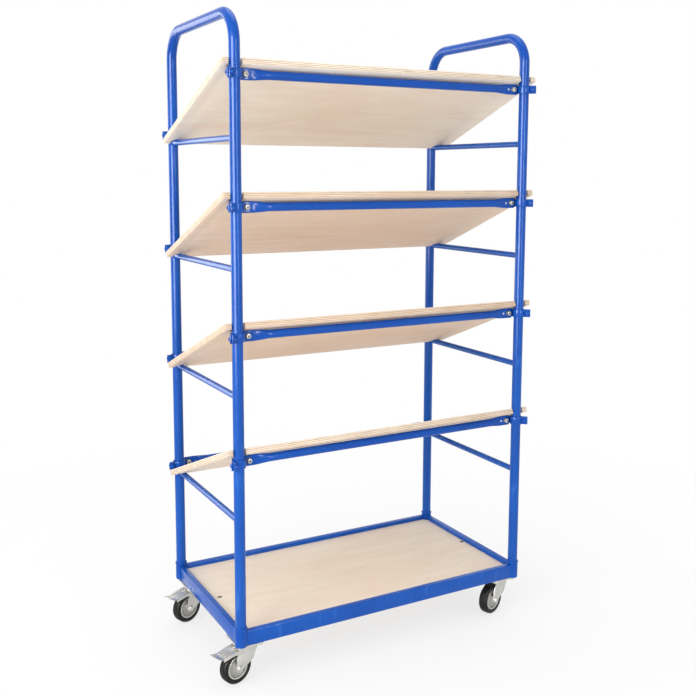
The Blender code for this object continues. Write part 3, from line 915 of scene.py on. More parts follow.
@dataclass(frozen=True)
class ScrewBlack:
    """Blackened steel of the deck screws, with bare metal on its rims; the rail-end washers and
    screw ends get it as painted shade round the bright nuts.
    """

    name: str = "screw_black"
    slot: str = "bright_zinc"
    black: Tint = Tint(44, 40, 36)
    bare: Tint = Tint(150, 148, 144)
    metallic: float = 0.7
    roughness: Flat = (0.35, 0.60)
    bare_share: float = 0.8
    grime: Grain = Grain(300.0, 3.0)

    def make(self) -> bpy.types.Material:
        """Build the blackened steel.

        Returns:
            Its material.
        """
        bench = FinishBench(self.name)
        rims = bench.ridges(EDGE_RANGE, (0.0, self.bare_share))
        return bench.surface(
            base_color=bench.blend(rims, self.black, self.bare),
            metallic=self.metallic,
            roughness=bench.spread(bench.noise(self.grime), self.grime.window, self.roughness),
        )


COAT = PowderCoat()
ZINC = Zinc()
RIM_GREY = RimGrey()
RUBBER = Rubber()
SCREW_BLACK = ScrewBlack()


@lru_cache(maxsize=None)
def material_of(finish: Finish) -> bpy.types.Material:
    """The material of a finish, built once."""
    return finish.make()


def dress(piece: Piece, finish: Finish, body: str, node: str = "") -> None:
    """Give a piece its finish and let it ride on a body.

    Args:
        piece: The piece, in place.
        finish: Its finish.
        body: Name of the body that carries it.
        node: Name of the frame's node that it stands for, if any.
    """
    piece.data.materials.clear()
    piece.data.materials.append(material_of(finish))
    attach(piece, body)
    if node:
        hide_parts(node)
    LOG.info("%s rides on %s", piece.name, body)


# Fasteners


@dataclass(frozen=True)
class HexScrew:
    """Hexagon screw along Z: washer on the plane Z = 0, hexagon above it and its end beyond."""

    across_flats: float
    height: float
    washer_radius: float
    washer_height: float
    shank_radius: float
    shank_end: float
    chamfer: float = 0.12
    washer_rim: float = 0.3
    point_length: float = 0.0008
    point_share: float = 0.8
    washer_steps: int = 24
    end_steps: int = 16

    def hexagon(self) -> Piece:
        """Model the chamfered hexagon.

        Returns:
            The hexagon.
        """
        corners = arc((0.0, 0.0), self.across_flats / math.sqrt(3.0), 0.0, math.tau, 6)[:-1]
        plate = slab("hexagon", corners, self.height, self.height * self.chamfer)
        return moved(plate, at(0.0, 0.0, self.washer_height + self.height / 2))

    def washer(self) -> Piece:
        """Model the washer with its rounded rim.

        Returns:
            The washer.
        """
        inner, outer, top = self.shank_radius, self.washer_radius, self.washer_height
        rim = top * self.washer_rim
        upper = [(outer, top - rim), (outer - rim, top), (inner, top)]
        return turned("washer", [(inner, 0.0), (outer, 0.0), *upper], self.washer_steps)

    def end(self) -> Piece:
        """Model the screw's pointed end beyond the hexagon.

        Returns:
            The end.
        """
        radius, bottom = self.shank_radius, self.washer_height
        top = bottom + self.height + self.shank_end
        return turned("end", [
            (0.0, bottom), (radius, bottom), (radius, top - self.point_length),
            (radius * self.point_share, top), (0.0, top)], self.end_steps)

    def build(self, name: str) -> Piece:
        """Model the whole screw."""
        return joined(name, [self.hexagon(), self.washer(), self.end()])


@dataclass(frozen=True)
class WeldBead:
    """A rippled bead of weld along Z, standing on the plane Z = 0."""

    length: float
    radius: float = 0.0021
    ripple: float = 0.0035
    valley: Flat = (0.80, 0.08)
    crest: Flat = (1.0, 0.5)
    last: Flat = (0.75, -0.1)
    steps: int = 10

    def build(self, name: str) -> Piece:
        """Model the bead.

        Args:
            name: Name of the bead.

        Returns:
            The bead.
        """
        count = max(2, round(self.length / self.ripple))
        points = [(index, point) for index in range(count) for point in (self.valley, self.crest)]
        points.append((count, self.last))
        bumps = [(self.radius * share, self.length * index / count + self.ripple * rise)
                 for index, (share, rise) in points]
        return turned(name, [(0.0, 0.0), *bumps, (0.0, self.length)], self.steps)


# Hoops and crossbars


@dataclass
class Hoop:
    """One bent tube: two uprights and the grip above them."""

    hand: Hand
    radius: float = 0.016
    bend_radius: float = 0.088
    sides: int = 32
    bend_steps: int = 14

    def build(self) -> Piece:
        """Model the tube from one foot over the bends to the other.

        Returns:
            The tube.
        """
        low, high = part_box(f"hoop_{self.hand.value}")
        x = (low.x + high.x) / 2
        near = low.y + self.radius
        far = high.y - self.radius
        bend = high.z - self.radius - self.bend_radius
        bpy.ops.mesh.primitive_circle_add(
            vertices=self.sides, radius=self.radius, fill_type="NGON", location=(x, near, low.z))
        tube = fresh(f"hoop_tube_{self.hand.value}")
        with editing(tube):
            extrude((0.0, 0.0, bend - low.z))
            self.bend((x, near + self.bend_radius, bend))
            extrude((0.0, far - near - 2 * self.bend_radius, 0.0))
            self.bend((x, far - self.bend_radius, bend))
            extrude((0.0, 0.0, low.z - bend))
        return soften(close_up(tube))

    def bend(self, centre: Place) -> None:
        """Carry the tube's end a quarter turn over to the far side."""
        bpy.ops.mesh.spin(steps=self.bend_steps, angle=QUARTER, center=centre, axis=(1.0, 0.0, 0.0))

    def dress(self) -> None:
        """Coat the hoop."""
        dress(self.build(), COAT, "base", f"hoop_{self.hand.value}")


@dataclass
class Crossbars:
    """Level bars between the uprights of both hoops, each with a weld at either end."""

    radius: float = 0.0095
    sides: int = 28
    upright_radius: float = 0.016
    root: float = 0.006
    bead_radius: float = 0.0024
    bead_segments: tuple[int, int] = (56, 8)
    ripples: int = 14
    ripple_depth: float = 0.05
    widest: float = 0.95

    def collar(self, reach: float, side: int) -> Piece:
        """Weld round one end of a bar, following the upright's curve.

        Args:
            reach: Distance of the upright's axis from the bar's middle.
            side: Sign of the end along Y.

        Returns:
            The weld.
        """
        rings, sides = self.bead_segments
        bpy.ops.mesh.primitive_torus_add(
            major_radius=self.radius, minor_radius=self.bead_radius, major_segments=rings,
            minor_segments=sides, rotation=(QUARTER, 0.0, 0.0))
        weld = fresh("collar")
        for corner in weld.data.vertices:
            around = math.atan2(corner.co.z, corner.co.x)
            wave = 1.0 + self.ripple_depth * math.sin(self.ripples * around)
            corner.co.x *= wave
            corner.co.z *= wave
            across = min(abs(corner.co.x), self.upright_radius * self.widest)
            corner.co.y += side * (reach - math.sqrt(self.upright_radius ** 2 - across ** 2))
        return soften(weld)

    def build(self, reach: float) -> Piece:
        """Model one bar with its welds, along Y and round the origin.

        Args:
            reach: Distance of the uprights' axes from the bar's middle.

        Returns:
            The bar.
        """
        length = 2 * (reach - self.upright_radius + self.root)
        bar = moved(rod("bar", self.radius, length, self.sides), ALONG_Y)
        return joined("crossbar", [bar, self.collar(reach, -1), self.collar(reach, 1)])

    def dress(self) -> None:
        """Copy the bar to every tier of both hoops and coat it."""
        near, far = uprights()[1]
        template = self.build((far - near) / 2)
        for hand in Hand:
            for tier in TIERS:
                node = f"crossbar_{hand.value}_{tier}"
                place = Matrix.Translation(middle_of(node))
                dress(copied(template, f"welded_{node}", place), COAT, "base", node)
        put_away([template])


# Base


@dataclass
class BaseFrame:
    """Welded frame: box rails, corner sockets, pads over the casters and a ledge for the deck."""

    rail_width: float = 0.020
    rail_height: float = 0.045
    rail_edge: float = 0.0025
    socket_radius: float = 0.0183
    socket_bore: float = 0.0163
    socket_height: float = 0.058
    socket_floor: float = 0.005
    socket_edge: float = 0.0012
    socket_rim: Profile = (
        (0.0, -0.0068), (0.0012, -0.0054), (0.0012, -0.0012), (0.0002, -0.0002))
    bore_edge: Flat = (0.0004, 0.0006)
    socket_steps: int = 40
    weld_inset: float = 0.002
    weld_proud: float = 0.0004
    mark_radius: float = 0.0042
    mark_profile: Profile = (
        (0.0, -0.0006), (1.0, -0.0006), (0.8, 0.0002), (0.4, 0.0006), (0.0, 0.0007))
    mark_steps: int = 18
    run_stretch: Place = (0.35, 2.4, 1.3)
    run_share: float = 0.814
    run_height: float = 0.55
    patch_stretch: Place = (1.1, 2.2, 2.0)
    patch_share: float = 0.76
    patch_height: float = 0.30
    pad_proud: float = 0.001
    pad_thickness: float = 0.004
    pad_length: float = 0.0655
    pad_depth: float = 0.0895
    pad_edge: float = 0.0008
    ledge_width: float = 0.035
    ledge_thickness: float = 0.003
    ledge_edge: float = 0.0005
    ledge_step: float = 0.0002
    deck_gap: float = 0.0003
    lap: float = 0.002

    @property
    def half(self) -> float:
        """Half a rail's width."""
        return self.rail_width / 2

    @property
    def bottom(self) -> float:
        """Height of the rails' lower side."""
        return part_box("base_frame")[0].z + self.pad_proud

    @staticmethod
    def corners() -> Iterator[tuple[float, float, int, int]]:
        """Places of the corners.

        Yields:
            X and Y of each upright's axis, and the signs of the way into the frame.
        """
        xs, ys = uprights()
        for x, into_x in zip(xs, (1, -1)):
            for y, into_y in zip(ys, (1, -1)):
                yield x, y, into_x, into_y

    def rails(self) -> list[Piece]:
        """Model four box rails between the sockets.

        Returns:
            The rails.
        """
        xs, ys = uprights()
        half, bottom = self.half, self.bottom
        sides = [((xs[0], y - half), (xs[1], y + half)) for y in ys]
        sides += [((x - half, ys[0]), (x + half, ys[1])) for x in xs]
        top = bottom + self.rail_height
        return [block("rail", (*low, bottom), (*high, top), self.rail_edge) for low, high in sides]

    def sockets(self) -> list[Piece]:
        """Model the corner sockets with their rolled rims.

        Returns:
            The sockets.
        """
        outer, bore, bottom = self.socket_radius, self.socket_bore, self.bottom
        top = bottom + self.socket_height
        floor = bottom + self.socket_floor
        rim = [(outer + out, top + rise) for out, rise in self.socket_rim]
        lip = [(bore + self.bore_edge[0], top), (bore, top - self.bore_edge[1])]
        template = turned("socket", [
            (0.0, bottom), (outer - self.socket_edge, bottom), (outer, bottom + self.socket_edge),
            *rim, *lip, (bore, floor), (0.0, floor)], self.socket_steps)
        return repeated(template, [at(x, y, 0.0) for x, y, _, _ in self.corners()])

    def welds(self) -> list[Piece]:
        """Model upright weld beads where the rails meet the sockets.

        Returns:
            The beads.
        """
        half = self.half
        along = math.sqrt(self.socket_radius ** 2 - half ** 2) + self.weld_proud
        places = []
        for x, y, into_x, into_y in self.corners():
            for side in (-half, half):
                places += [(x + into_x * along, y + side), (x + side, y + into_y * along)]
        foot = self.bottom + self.weld_inset
        bead = WeldBead(self.rail_height - 2 * self.weld_inset).build("bead")
        return repeated(bead, [at(x, y, foot) for x, y in places])

    def marks(self) -> list[Piece]:
        """Model ground plug welds on the rails' outer faces.

        Returns:
            The marks.
        """
        xs, ys = uprights()
        half = self.half
        run = Matrix.Diagonal((*self.run_stretch, 1.0))
        patch = Matrix.Diagonal((*self.patch_stretch, 1.0))
        places = []
        height = self.bottom + self.rail_height * self.run_height
        for y, side, share in ((ys[0], -1, self.run_share), (ys[1], 1, 1.0 - self.run_share)):
            along = xs[0] + share * (xs[1] - xs[0])
            places.append(at(along, y + side * half, height) @ turn(-side * QUARTER, "X") @ run)
        height = self.bottom + self.rail_height * self.patch_height
        for x, side, share in ((xs[0], -1, self.patch_share), (xs[1], 1, 1.0 - self.patch_share)):
            along = ys[0] + share * (ys[1] - ys[0])
            places.append(at(x + side * half, along, height) @ turn(side * QUARTER, "Y") @ patch)
        mark = button("mark", self.mark_radius, self.mark_profile, self.mark_steps)
        return repeated(mark, places)

    def pads(self) -> list[Piece]:
        """Model the pads over the casters.

        Returns:
            The pads.
        """
        inner = self.half - self.lap
        low = self.bottom - self.pad_proud
        parts = []
        for x, y, into_x, into_y in self.corners():
            first = (x + into_x * inner, y + into_y * inner, low)
            last = (first[0] + into_x * self.pad_length, first[1] + into_y * self.pad_depth,
                    low + self.pad_thickness)
            parts.append(block("pad", first, last, self.pad_edge))
        return parts

    def ledges(self) -> list[Piece]:
        """Model the ledge strips under the deck, the short ones a little thinner.

        Returns:
            The strips.
        """
        xs, ys = uprights()
        inner = self.half - self.lap
        reach = self.half + self.ledge_width
        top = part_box("base_deck")[0].z - self.deck_gap
        base, step = top - self.ledge_thickness, self.ledge_step
        sides = [((xs[0] + inner, y + into * inner, base), (xs[1] - inner, y + into * reach, top))
                 for y, into in zip(ys, (1, -1))]
        near, far = ys[0] + reach - self.lap, ys[1] - reach + self.lap
        sides += [((x + into * inner, near, base + step), (x + into * reach, far, top - step))
                  for x, into in zip(xs, (1, -1))]
        return [block("ledge", first, last, self.ledge_edge) for first, last in sides]

    def dress(self) -> None:
        """Join the frame's parts and coat them."""
        groups = (self.rails, self.sockets, self.welds, self.marks, self.pads, self.ledges)
        parts = [part for group in groups for part in group()]
        dress(joined("welded_base_frame", parts), COAT, "base", "base_frame")


# Boards


@dataclass
class BaseDeck:
    """Plywood deck inside the base frame, held by a screw at either end."""

    corner_cut: float = 0.0083
    edge: float = 0.0006
    plies: int = 5
    tan_and_shade: float = 0.10
    screw_insets: Flat = (0.026, 0.0104)
    screw_radius: float = 0.0072
    screw_profile: Profile = (
        (0.0, -0.004), (0.5, -0.004), (1.0, -0.0004), (1.0, 0.0003), (0.85, 0.0006), (0.0, 0.0008))
    screw_steps: int = 24
    arm: Flat = (0.6, 0.13)
    arm_heights: Flat = (0.0004, 0.00095)
    arm_edge: float = 0.0002

    def build(self) -> Piece:
        """Model the board with a cut-out at every corner.

        Returns:
            The board.
        """
        low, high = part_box("base_deck")
        x, y = (high.x - low.x) / 2, (high.y - low.y) / 2
        cut = self.corner_cut
        outline: list[Flat] = []
        for quarter, (sx, sy) in enumerate(CORNER_SIGNS):
            inner = (sx * (x - cut), sy * (y - cut))
            corner = [(sx * x, inner[1]), inner, (inner[0], sy * y)]
            outline += corner if quarter % 2 == 0 else corner[::-1]
        board = slab("plywood_deck", outline, high.z - low.z, self.edge)
        return moved(board, Matrix.Translation((low + high) / 2))

    def screw(self) -> Piece:
        """Model a countersunk screw with a raised cross, its head on the plane Z = 0.

        Returns:
            The screw.
        """
        parts = [button("screw", self.screw_radius, self.screw_profile, self.screw_steps)]
        bottom, top = self.arm_heights
        for shares in (self.arm, self.arm[::-1]):
            x, y = (self.screw_radius * share for share in shares)
            parts.append(block("arm", (-x, -y, bottom), (x, y, top), self.arm_edge))
        return joined("screw", parts)

    def dress(self) -> None:
        """Finish the board and put in its screws."""
        low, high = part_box("base_deck")
        x, y, _ = (low + high) / 2
        thickness = high.z - low.z
        finish = Plywood("deck_plywood", (x, y, low.z), 0.0, thickness, self.plies, self.tan_and_shade)
        dress(self.build(), finish, "base", "base_deck")
        ends = (low.x + self.screw_insets[0], high.x - self.screw_insets[1])
        screws = repeated(self.screw(), [at(end, y, high.z) for end in ends])
        dress(joined("deck_screws", screws), SCREW_BLACK, "base")


@dataclass
class Shelves:
    """Four tilted plywood shelves, notched round the uprights."""

    tilt: float = math.radians(-21.5)
    thickness: float = 0.018
    plies: int = 7
    # Tone of each tier's board: partly the board's own, partly painted shade that makes tiers 2 and
    # 3 darker.
    tan_and_shade: tuple[float, ...] = (0.30, 0.78, 0.66, 0.0)
    half_span: float = 0.500
    overhang: float = 0.039
    low_tongue: float = 0.036
    high_tongue: float = 0.034
    run: float = 0.481934
    notch_radius: float = 0.020
    notch_steps: int = 20
    edge: float = 0.0009

    def notch(self, x: float, end: float, edge: float) -> list[Flat]:
        """Round-ended notch in a long edge, from its right side to its left one.

        Args:
            x: Middle of the notch.
            end: Where it ends along Y.
            edge: Where the board's edge is along Y.

        Returns:
            Its outline.
        """
        towards = math.copysign(1.0, edge - end)
        centre = (x, end + towards * self.notch_radius)
        half_turn = arc(centre, self.notch_radius, 0.0, -towards * math.pi, self.notch_steps)
        return [(x + self.notch_radius, edge), *half_turn, (x - self.notch_radius, edge)]

    def build(self) -> Piece:
        """Model one board: Y runs down the slope from the end of the low notches.

        Returns:
            The board.
        """
        half = self.half_span + self.overhang
        high_edge = -self.run - self.high_tongue
        low_side: list[Flat] = [(half, self.low_tongue)]
        high_side: list[Flat] = [(half, high_edge)]
        for x in (self.half_span, -self.half_span):
            low_side += self.notch(x, 0.0, self.low_tongue)
            high_side += self.notch(x, -self.run, high_edge)
        ends = [(-half, self.low_tongue), (-half, high_edge)]
        outline = [*low_side, *ends, *high_side[:0:-1], high_side[0]]
        board = slab("board", outline, self.thickness, self.edge)
        return moved(board, at(0.0, 0.0, self.thickness / 2))

    def dress(self) -> None:
        """Copy the board to every tier; each has a figure of its own, and a tone that is partly its
        own and partly painted shade.
        """
        template = self.build()
        hinges = [joint for joint in frame["joints"] if joint["type"] == "hinge"]
        pivots = {joint["child"]: tuple(joint["pos_m"]) for joint in hinges}
        for tier, tan_and_shade in zip(TIERS, self.tan_and_shade):
            body = f"shelf_board_{tier}"
            pivot = pivots[body]
            finish = Plywood(
                f"shelf_plywood_{tier}", pivot, self.tilt, self.thickness, self.plies, tan_and_shade)
            place = at(*pivot) @ turn(self.tilt, "X")
            board = copied(template, f"plywood_shelf_{tier}", place)
            dress(board, finish, body, f"shelf_{tier}")
        put_away([template])


# Clamped rails


@dataclass
class Clamp:
    """Left-hand clamp round an upright: slit ring, a pair of ears outwards and a lug inwards."""

    ear_angle: float
    inner: float = 0.0163
    outer: float = 0.0205
    height: float = 0.025
    edge: float = 0.0006
    ear_length: float = 0.018
    ear_thickness: float = 0.0035
    ear_slit: float = 0.003
    lug_inner: float = 0.015
    lug_outer: float = 0.019
    lug_end: float = 0.048
    near_steps: int = 24
    far_steps: int = 16
    bore_steps: int = 40
    pinch_share: float = 0.6
    pinch_sides: int = 16
    pinch_nut: HexScrew = HexScrew(
        across_flats=0.010, height=0.0045, washer_radius=0.0060, washer_height=0.0010,
        shank_radius=0.0030, shank_end=0.0016)

    @property
    def ear(self) -> float:
        """Angle that the ears point at."""
        return math.pi + self.ear_angle

    @property
    def outward(self) -> Vector:
        """Direction that the ears point in."""
        return Vector((math.cos(self.ear), math.sin(self.ear), 0.0))

    @property
    def across(self) -> Vector:
        """Direction across the ears."""
        return Vector((-math.sin(self.ear), math.cos(self.ear), 0.0))

    @property
    def half_ears(self) -> float:
        """Half the distance between the ears' outer faces."""
        return self.ear_slit / 2 + self.ear_thickness

    def tip(self, offset: float) -> Flat:
        """Corner at the ears' end, some way across from their middle."""
        return tuple((self.outward * (self.outer + self.ear_length) + self.across * offset).to_2d())

    def outline(self) -> list[Flat]:
        """Outline of the ring with its ears and lug.

        Returns:
            The outline.
        """
        ear, half_slit = self.ear, self.ear_slit / 2
        root = math.asin(self.half_ears / self.outer)
        slit = math.asin(half_slit / self.inner)
        lug_near = math.asin(self.lug_inner / self.outer)
        lug_far = math.asin(self.lug_outer / self.outer)
        centre = (0.0, 0.0)
        return [
            *arc(centre, self.outer, ear + root - math.tau, lug_near, self.near_steps),
            (self.lug_end, self.lug_inner), (self.lug_end, self.lug_outer),
            *arc(centre, self.outer, lug_far, ear - root, self.far_steps),
            self.tip(-self.half_ears), self.tip(-half_slit),
            *arc(centre, self.inner, ear - slit, ear + slit - math.tau, self.bore_steps),
            self.tip(half_slit), self.tip(self.half_ears),
        ]

    def build(self) -> Piece:
        """Model the clamp with the screw that draws its ears together.

        Returns:
            The clamp.
        """
        ring = slab("ring", self.outline(), self.height, self.edge)
        middle = self.outward * (self.outer + self.ear_length * self.pinch_share)
        screw = []
        for side in (-self.across, self.across):
            lie = side.to_track_quat("Z", "Y").to_matrix().to_4x4()
            place = Matrix.Translation(middle + side * self.half_ears) @ lie
            screw.append(moved(self.pinch_nut.build("pinch"), place))
        radius = self.pinch_nut.shank_radius
        shank = rod("pinch_shank", radius, 2 * self.half_ears, self.pinch_sides)
        screw.append(moved(shank, Matrix.Translation(middle) @ lie))
        return joined("clamp", [ring, joined("pinch", screw)])


@dataclass
class ClampedRails:
    """Rails with flattened ends, the clamps that hold them on the uprights, and their screws."""

    tube_radius: float = 0.0125
    tube_edge: float = 0.0005
    sides: int = 32
    flat_height: float = 0.033
    flat_thickness: float = 0.0055
    flat_length: float = 0.028
    flat_corner: float = 0.6
    taper_length: float = 0.060
    taper_rings: int = 10
    ear_angles: Flat = (math.radians(42.0), math.radians(20.0))
    bolt_place: float = 0.0355
    rivet_place: float = 0.0550
    rivet_radius: float = 0.0034
    rivet_profile: Profile = (
        (0.0, -0.0004), (1.0, -0.0004), (1.0, 0.0005), (0.75, 0.0013), (0.3, 0.0017), (0.0, 0.0018))
    rivet_steps: int = 18
    nut: HexScrew = HexScrew(
        across_flats=0.013, height=0.0065, washer_radius=0.0088, washer_height=0.0016,
        shank_radius=0.0036, shank_end=0.0022)
    head: HexScrew = HexScrew(
        across_flats=0.013, height=0.0053, washer_radius=0.0080, washer_height=0.0012,
        shank_radius=0.0040, shank_end=-0.0005)

    def flattened(self, point: Vector) -> Vector:
        """Where a point of the round section goes on the pressed end.

        Args:
            point: The point.

        Returns:
            Its new place.
        """
        angle = math.atan2(abs(point.z), abs(point.y))
        last = QUARTER - math.tau / self.sides
        half = self.flat_thickness / 2
        if angle > (last + QUARTER) / 2:
            return Vector((point.x, 0.0, math.copysign(self.flat_height / 2, point.z)))
        height = (self.flat_height / 2 - half * self.flat_corner) * angle / last
        return Vector((point.x, math.copysign(half, point.y), math.copysign(height, point.z)))

    def rail(self, half: float) -> Piece:
        """Model a round tube along X whose ends are pressed flat.

        Args:
            half: Half its length.

        Returns:
            The tube.
        """
        bpy.ops.mesh.primitive_cylinder_add(
            vertices=self.sides, radius=self.tube_radius, depth=2 * half,
            rotation=(0.0, QUARTER, 0.0))
        tube = fresh("tube")
        with editing(tube):
            for ring in range(self.taper_rings + 1):
                cut = half - self.flat_length - self.taper_length * ring / self.taper_rings
                for x in (-cut, cut):
                    bpy.ops.mesh.select_all(action="SELECT")
                    bpy.ops.mesh.bisect(plane_co=(x, 0.0, 0.0), plane_no=(1.0, 0.0, 0.0))
        for corner in tube.data.vertices:
            inward = half - abs(corner.co.x) - self.flat_length
            share = min(max(inward / self.taper_length, 0.0), 1.0)
            corner.co = corner.co.lerp(self.flattened(corner.co), 1.0 - gentle(share))
        return soften(close_up(tube), self.tube_edge)

    def fixings(self, front: float, back: float) -> list[Piece]:
        """Model the screws of a left-hand rail end; the rivet is only used on the right-hand ones.

        Args:
            front: Distance of the rail flat's front from the upright's axis.
            back: Distance of the clamp lug's back from it.

        Returns:
            The bright nut with the screw's head, the washer with the screw's end, made black as
            painted shade round the nut, and the rivet.
        """
        facing = at(self.bolt_place, front, 0.0) @ ALONG_Y
        nut = moved(self.nut.hexagon(), facing)
        head = moved(self.head.build("head"), at(self.bolt_place, back, 0.0) @ turn(-QUARTER, "X"))
        bright = joined("end_nut", [nut, head])
        # Painted shade: washer and screw end are finished black so they show as a dark ring round
        # the bright nut.
        shade_ring = moved(joined("end_washer", [self.nut.washer(), self.nut.end()]), facing)
        rivet = button("rivet", self.rivet_radius, self.rivet_profile, self.rivet_steps)
        return [bright, shade_ring, moved(rivet, at(self.rivet_place, front, 0.0) @ ALONG_Y)]

    def dress(self) -> None:
        """Put a rail, two clamps and their screws at every tier of both long sides."""
        low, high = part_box("high_rail_1")
        rail = self.rail((high.x - low.x) / 2)
        for row, ear_angle, y in zip(Row, self.ear_angles, uprights()[1]):
            clamp = Clamp(ear_angle)
            front = middle_of(f"{row.value}_rail_1").y - y - self.flat_thickness / 2
            templates = [clamp.build(), *self.fixings(front, clamp.lug_outer)]
            for tier in TIERS:
                node = f"{row.value}_rail_{tier}"
                copy = copied(rail, f"pressed_{node}", Matrix.Translation(middle_of(node)))
                dress(copy, COAT, f"{row.value}_rail_set_{tier}", node)
                self.dress_ends(row, tier, y, templates)
            put_away(templates)
        put_away([rail])

    def dress_ends(self, row: Row, tier: int, y: float, templates: Sequence[Piece]) -> None:
        """Dress the clamps and screws at both ends of one rail.

        Args:
            row: Long side that the rail is on.
            tier: Its tier.
            y: Place of the uprights along Y.
            templates: Left-hand clamp, nut, washer and rivet to copy.
        """
        body = f"{row.value}_rail_set_{tier}"
        height = middle_of(f"{row.value}_rail_{tier}").z
        clamp, nut, washer, rivet = templates
        bright: list[Piece] = []
        shade_ring: list[Piece] = []
        for hand, x in zip(Hand, uprights()[0]):
            place = at(x, y, height)
            bright_templates = [nut]
            if hand is Hand.RIGHT:
                place = place @ Matrix.Scale(-1.0, 4, (1.0, 0.0, 0.0))
                bright_templates.append(rivet)
            node = f"{row.value}_clamp_{hand.value}_{tier}"
            dress(copied(clamp, f"pinch_{node}", place), COAT, body, node)
            bright += [copied(template, "bright", place) for template in bright_templates]
            shade_ring.append(copied(washer, "shade_ring", place))
        dress(joined(f"{row.value}_rail_nuts_{tier}", bright), ZINC, body)
        # Painted shade: the washers and screw ends are black to show a dark ring round each nut.
        dress(joined(f"{row.value}_rail_washers_{tier}", shade_ring), SCREW_BLACK, body)


# Casters


@dataclass
class Wheel:
    """Parts of a wheel along Z, each turned from half a profile of (radius, height) points."""

    centre_half: Profile = (
        (0.0063, 0.0187), (0.0112, 0.0187), (0.0126, 0.0176), (0.0130, 0.0100), (0.0142, 0.0072),
        (0.0165, 0.0056), (0.0215, 0.0050), (0.0243, 0.0056), (0.0260, 0.0076), (0.0269, 0.0102),
        (0.0277, 0.0104), (0.0279, 0.0030), (0.0302, 0.0028))
    lip_half: Profile = (
        (0.0302, 0.0026), (0.0302, 0.0118), (0.0308, 0.0131), (0.0318, 0.0135), (0.0344, 0.0135),
        (0.0353, 0.0128), (0.0355, 0.0118))
    tyre_half: Profile = (
        (0.0358, 0.0126), (0.0361, 0.0136), (0.0374, 0.0149), (0.0396, 0.0150), (0.0402, 0.0144),
        (0.0412, 0.0144), (0.0418, 0.0149), (0.0446, 0.0147), (0.0470, 0.0137), (0.0487, 0.0121),
        (0.0496, 0.0100), (0.0499, 0.0080), (0.0485, 0.0075), (0.0484, 0.0063), (0.0499, 0.0058),
        (0.0500, 0.0012), (0.0485, 0.0007))
    steps: int = 72
    tyre_steps: int = 96
    ribs: int = 6
    rib_reach: Flat = (0.0120, 0.0268)
    rib_heights: Flat = (0.0042, 0.0078)
    rib_half: float = 0.0011
    rib_edge: float = 0.0008

    def centre(self) -> Piece:
        """Model the hub and its dished web with ribs.

        Returns:
            The wheel's centre.
        """
        parts = [turned("web", mirrored(self.centre_half), self.steps)]
        (near, far), (low, high), half = self.rib_reach, self.rib_heights, self.rib_half
        for side in (-1, 1):
            for index in range(self.ribs):
                first, last = (near, -half, side * low), (far, half, side * high)
                rib = block("rib", first, last, self.rib_edge)
                parts.append(moved(rib, turn(index * math.tau / self.ribs, "Z")))
        return joined("web", parts)

    def lip(self) -> Piece:
        """Model the bright rolled ring that holds the tyre."""
        return turned("lip", mirrored(self.lip_half), self.steps)

    def tyre(self) -> Piece:
        """Model the solid tyre with grooves round its tread and a step on its sides."""
        return turned("tyre", mirrored(self.tyre_half), self.tyre_steps)


@dataclass
class BrakePedal:
    """Foot plate between two flanges, with ribs, a drain hole's rim and a turned-up lip."""

    half_width: float
    sheet: float = 0.002
    sheet_edge: float = 0.0005
    boss: float = 0.007
    boss_steps: int = 12
    path: Profile = ((0.0, 0.012), (-0.028, 0.0085), (-0.064, 0.001), (-0.082, 0.008))
    rounds: int = 3
    waist: Flat = (-0.024, -0.001)
    tail_flange: float = 0.006
    rib_rows: Place = (-0.0125, 0.0, 0.0125)
    rib_half: Flat = (0.014, 0.0020)
    rib_heights: Flat = (-0.0008, 0.0018)
    rib_edge: float = 0.0012
    rib_share: float = 0.5
    hole_share: float = 0.55
    hole_rim: Profile = (
        (0.0042, -0.0006), (0.0062, -0.0006), (0.0062, 0.0004), (0.0052, 0.0009), (0.0042, 0.0004))
    hole_steps: int = 24

    def lie(self, first: int, share: float) -> Matrix:
        """Place on one straight of the foot plate's path.

        Args:
            first: Number of the straight.
            share: How far along it the place is.

        Returns:
            The place, with X along the straight.
        """
        start, end = Vector(self.path[first]), Vector(self.path[first + 1])
        point = start.lerp(end, share)
        slope = math.atan2(start.y - end.y, start.x - end.x)
        return at(point.x, 0.0, point.y) @ turn(-slope, "Y")

    def flange(self) -> list[Flat]:
        """Outline of a flange from its boss to the foot plate's end.

        Returns:
            The outline.
        """
        lower = beside(self.path, self.sheet / 2)
        boss = arc((0.0, 0.0), self.boss, QUARTER / 2, -QUARTER, self.boss_steps)
        tail = lower[2]
        return [lower[0], *boss, self.waist, (tail[0], tail[1] - self.tail_flange), tail, lower[1]]

    def build(self) -> Piece:
        """Model the pedal round its pivot.

        Returns:
            The pedal.
        """
        middle = self.half_width + self.sheet / 2
        upper = eased(self.path, self.rounds)
        foot = [*upper, *beside(upper, self.sheet)[::-1]]
        parts = [moved(slab("foot", foot, 2 * middle, self.sheet_edge), ALONG_Y)]
        for side in (-middle, middle):
            flange = slab("flange", self.flange(), self.sheet, self.sheet_edge)
            parts.append(moved(flange, at(0.0, side, 0.0) @ ALONG_Y))
        (x, half), (low, high) = self.rib_half, self.rib_heights
        for y in self.rib_rows:
            rib = block("rib", (-x, y - half, low), (x, y + half, high), self.rib_edge)
            parts.append(moved(rib, self.lie(1, self.rib_share)))
        rim = turned("hole_rim", self.hole_rim, self.hole_steps)
        parts.append(moved(rim, self.lie(0, self.hole_share)))
        return joined("pedal", parts)


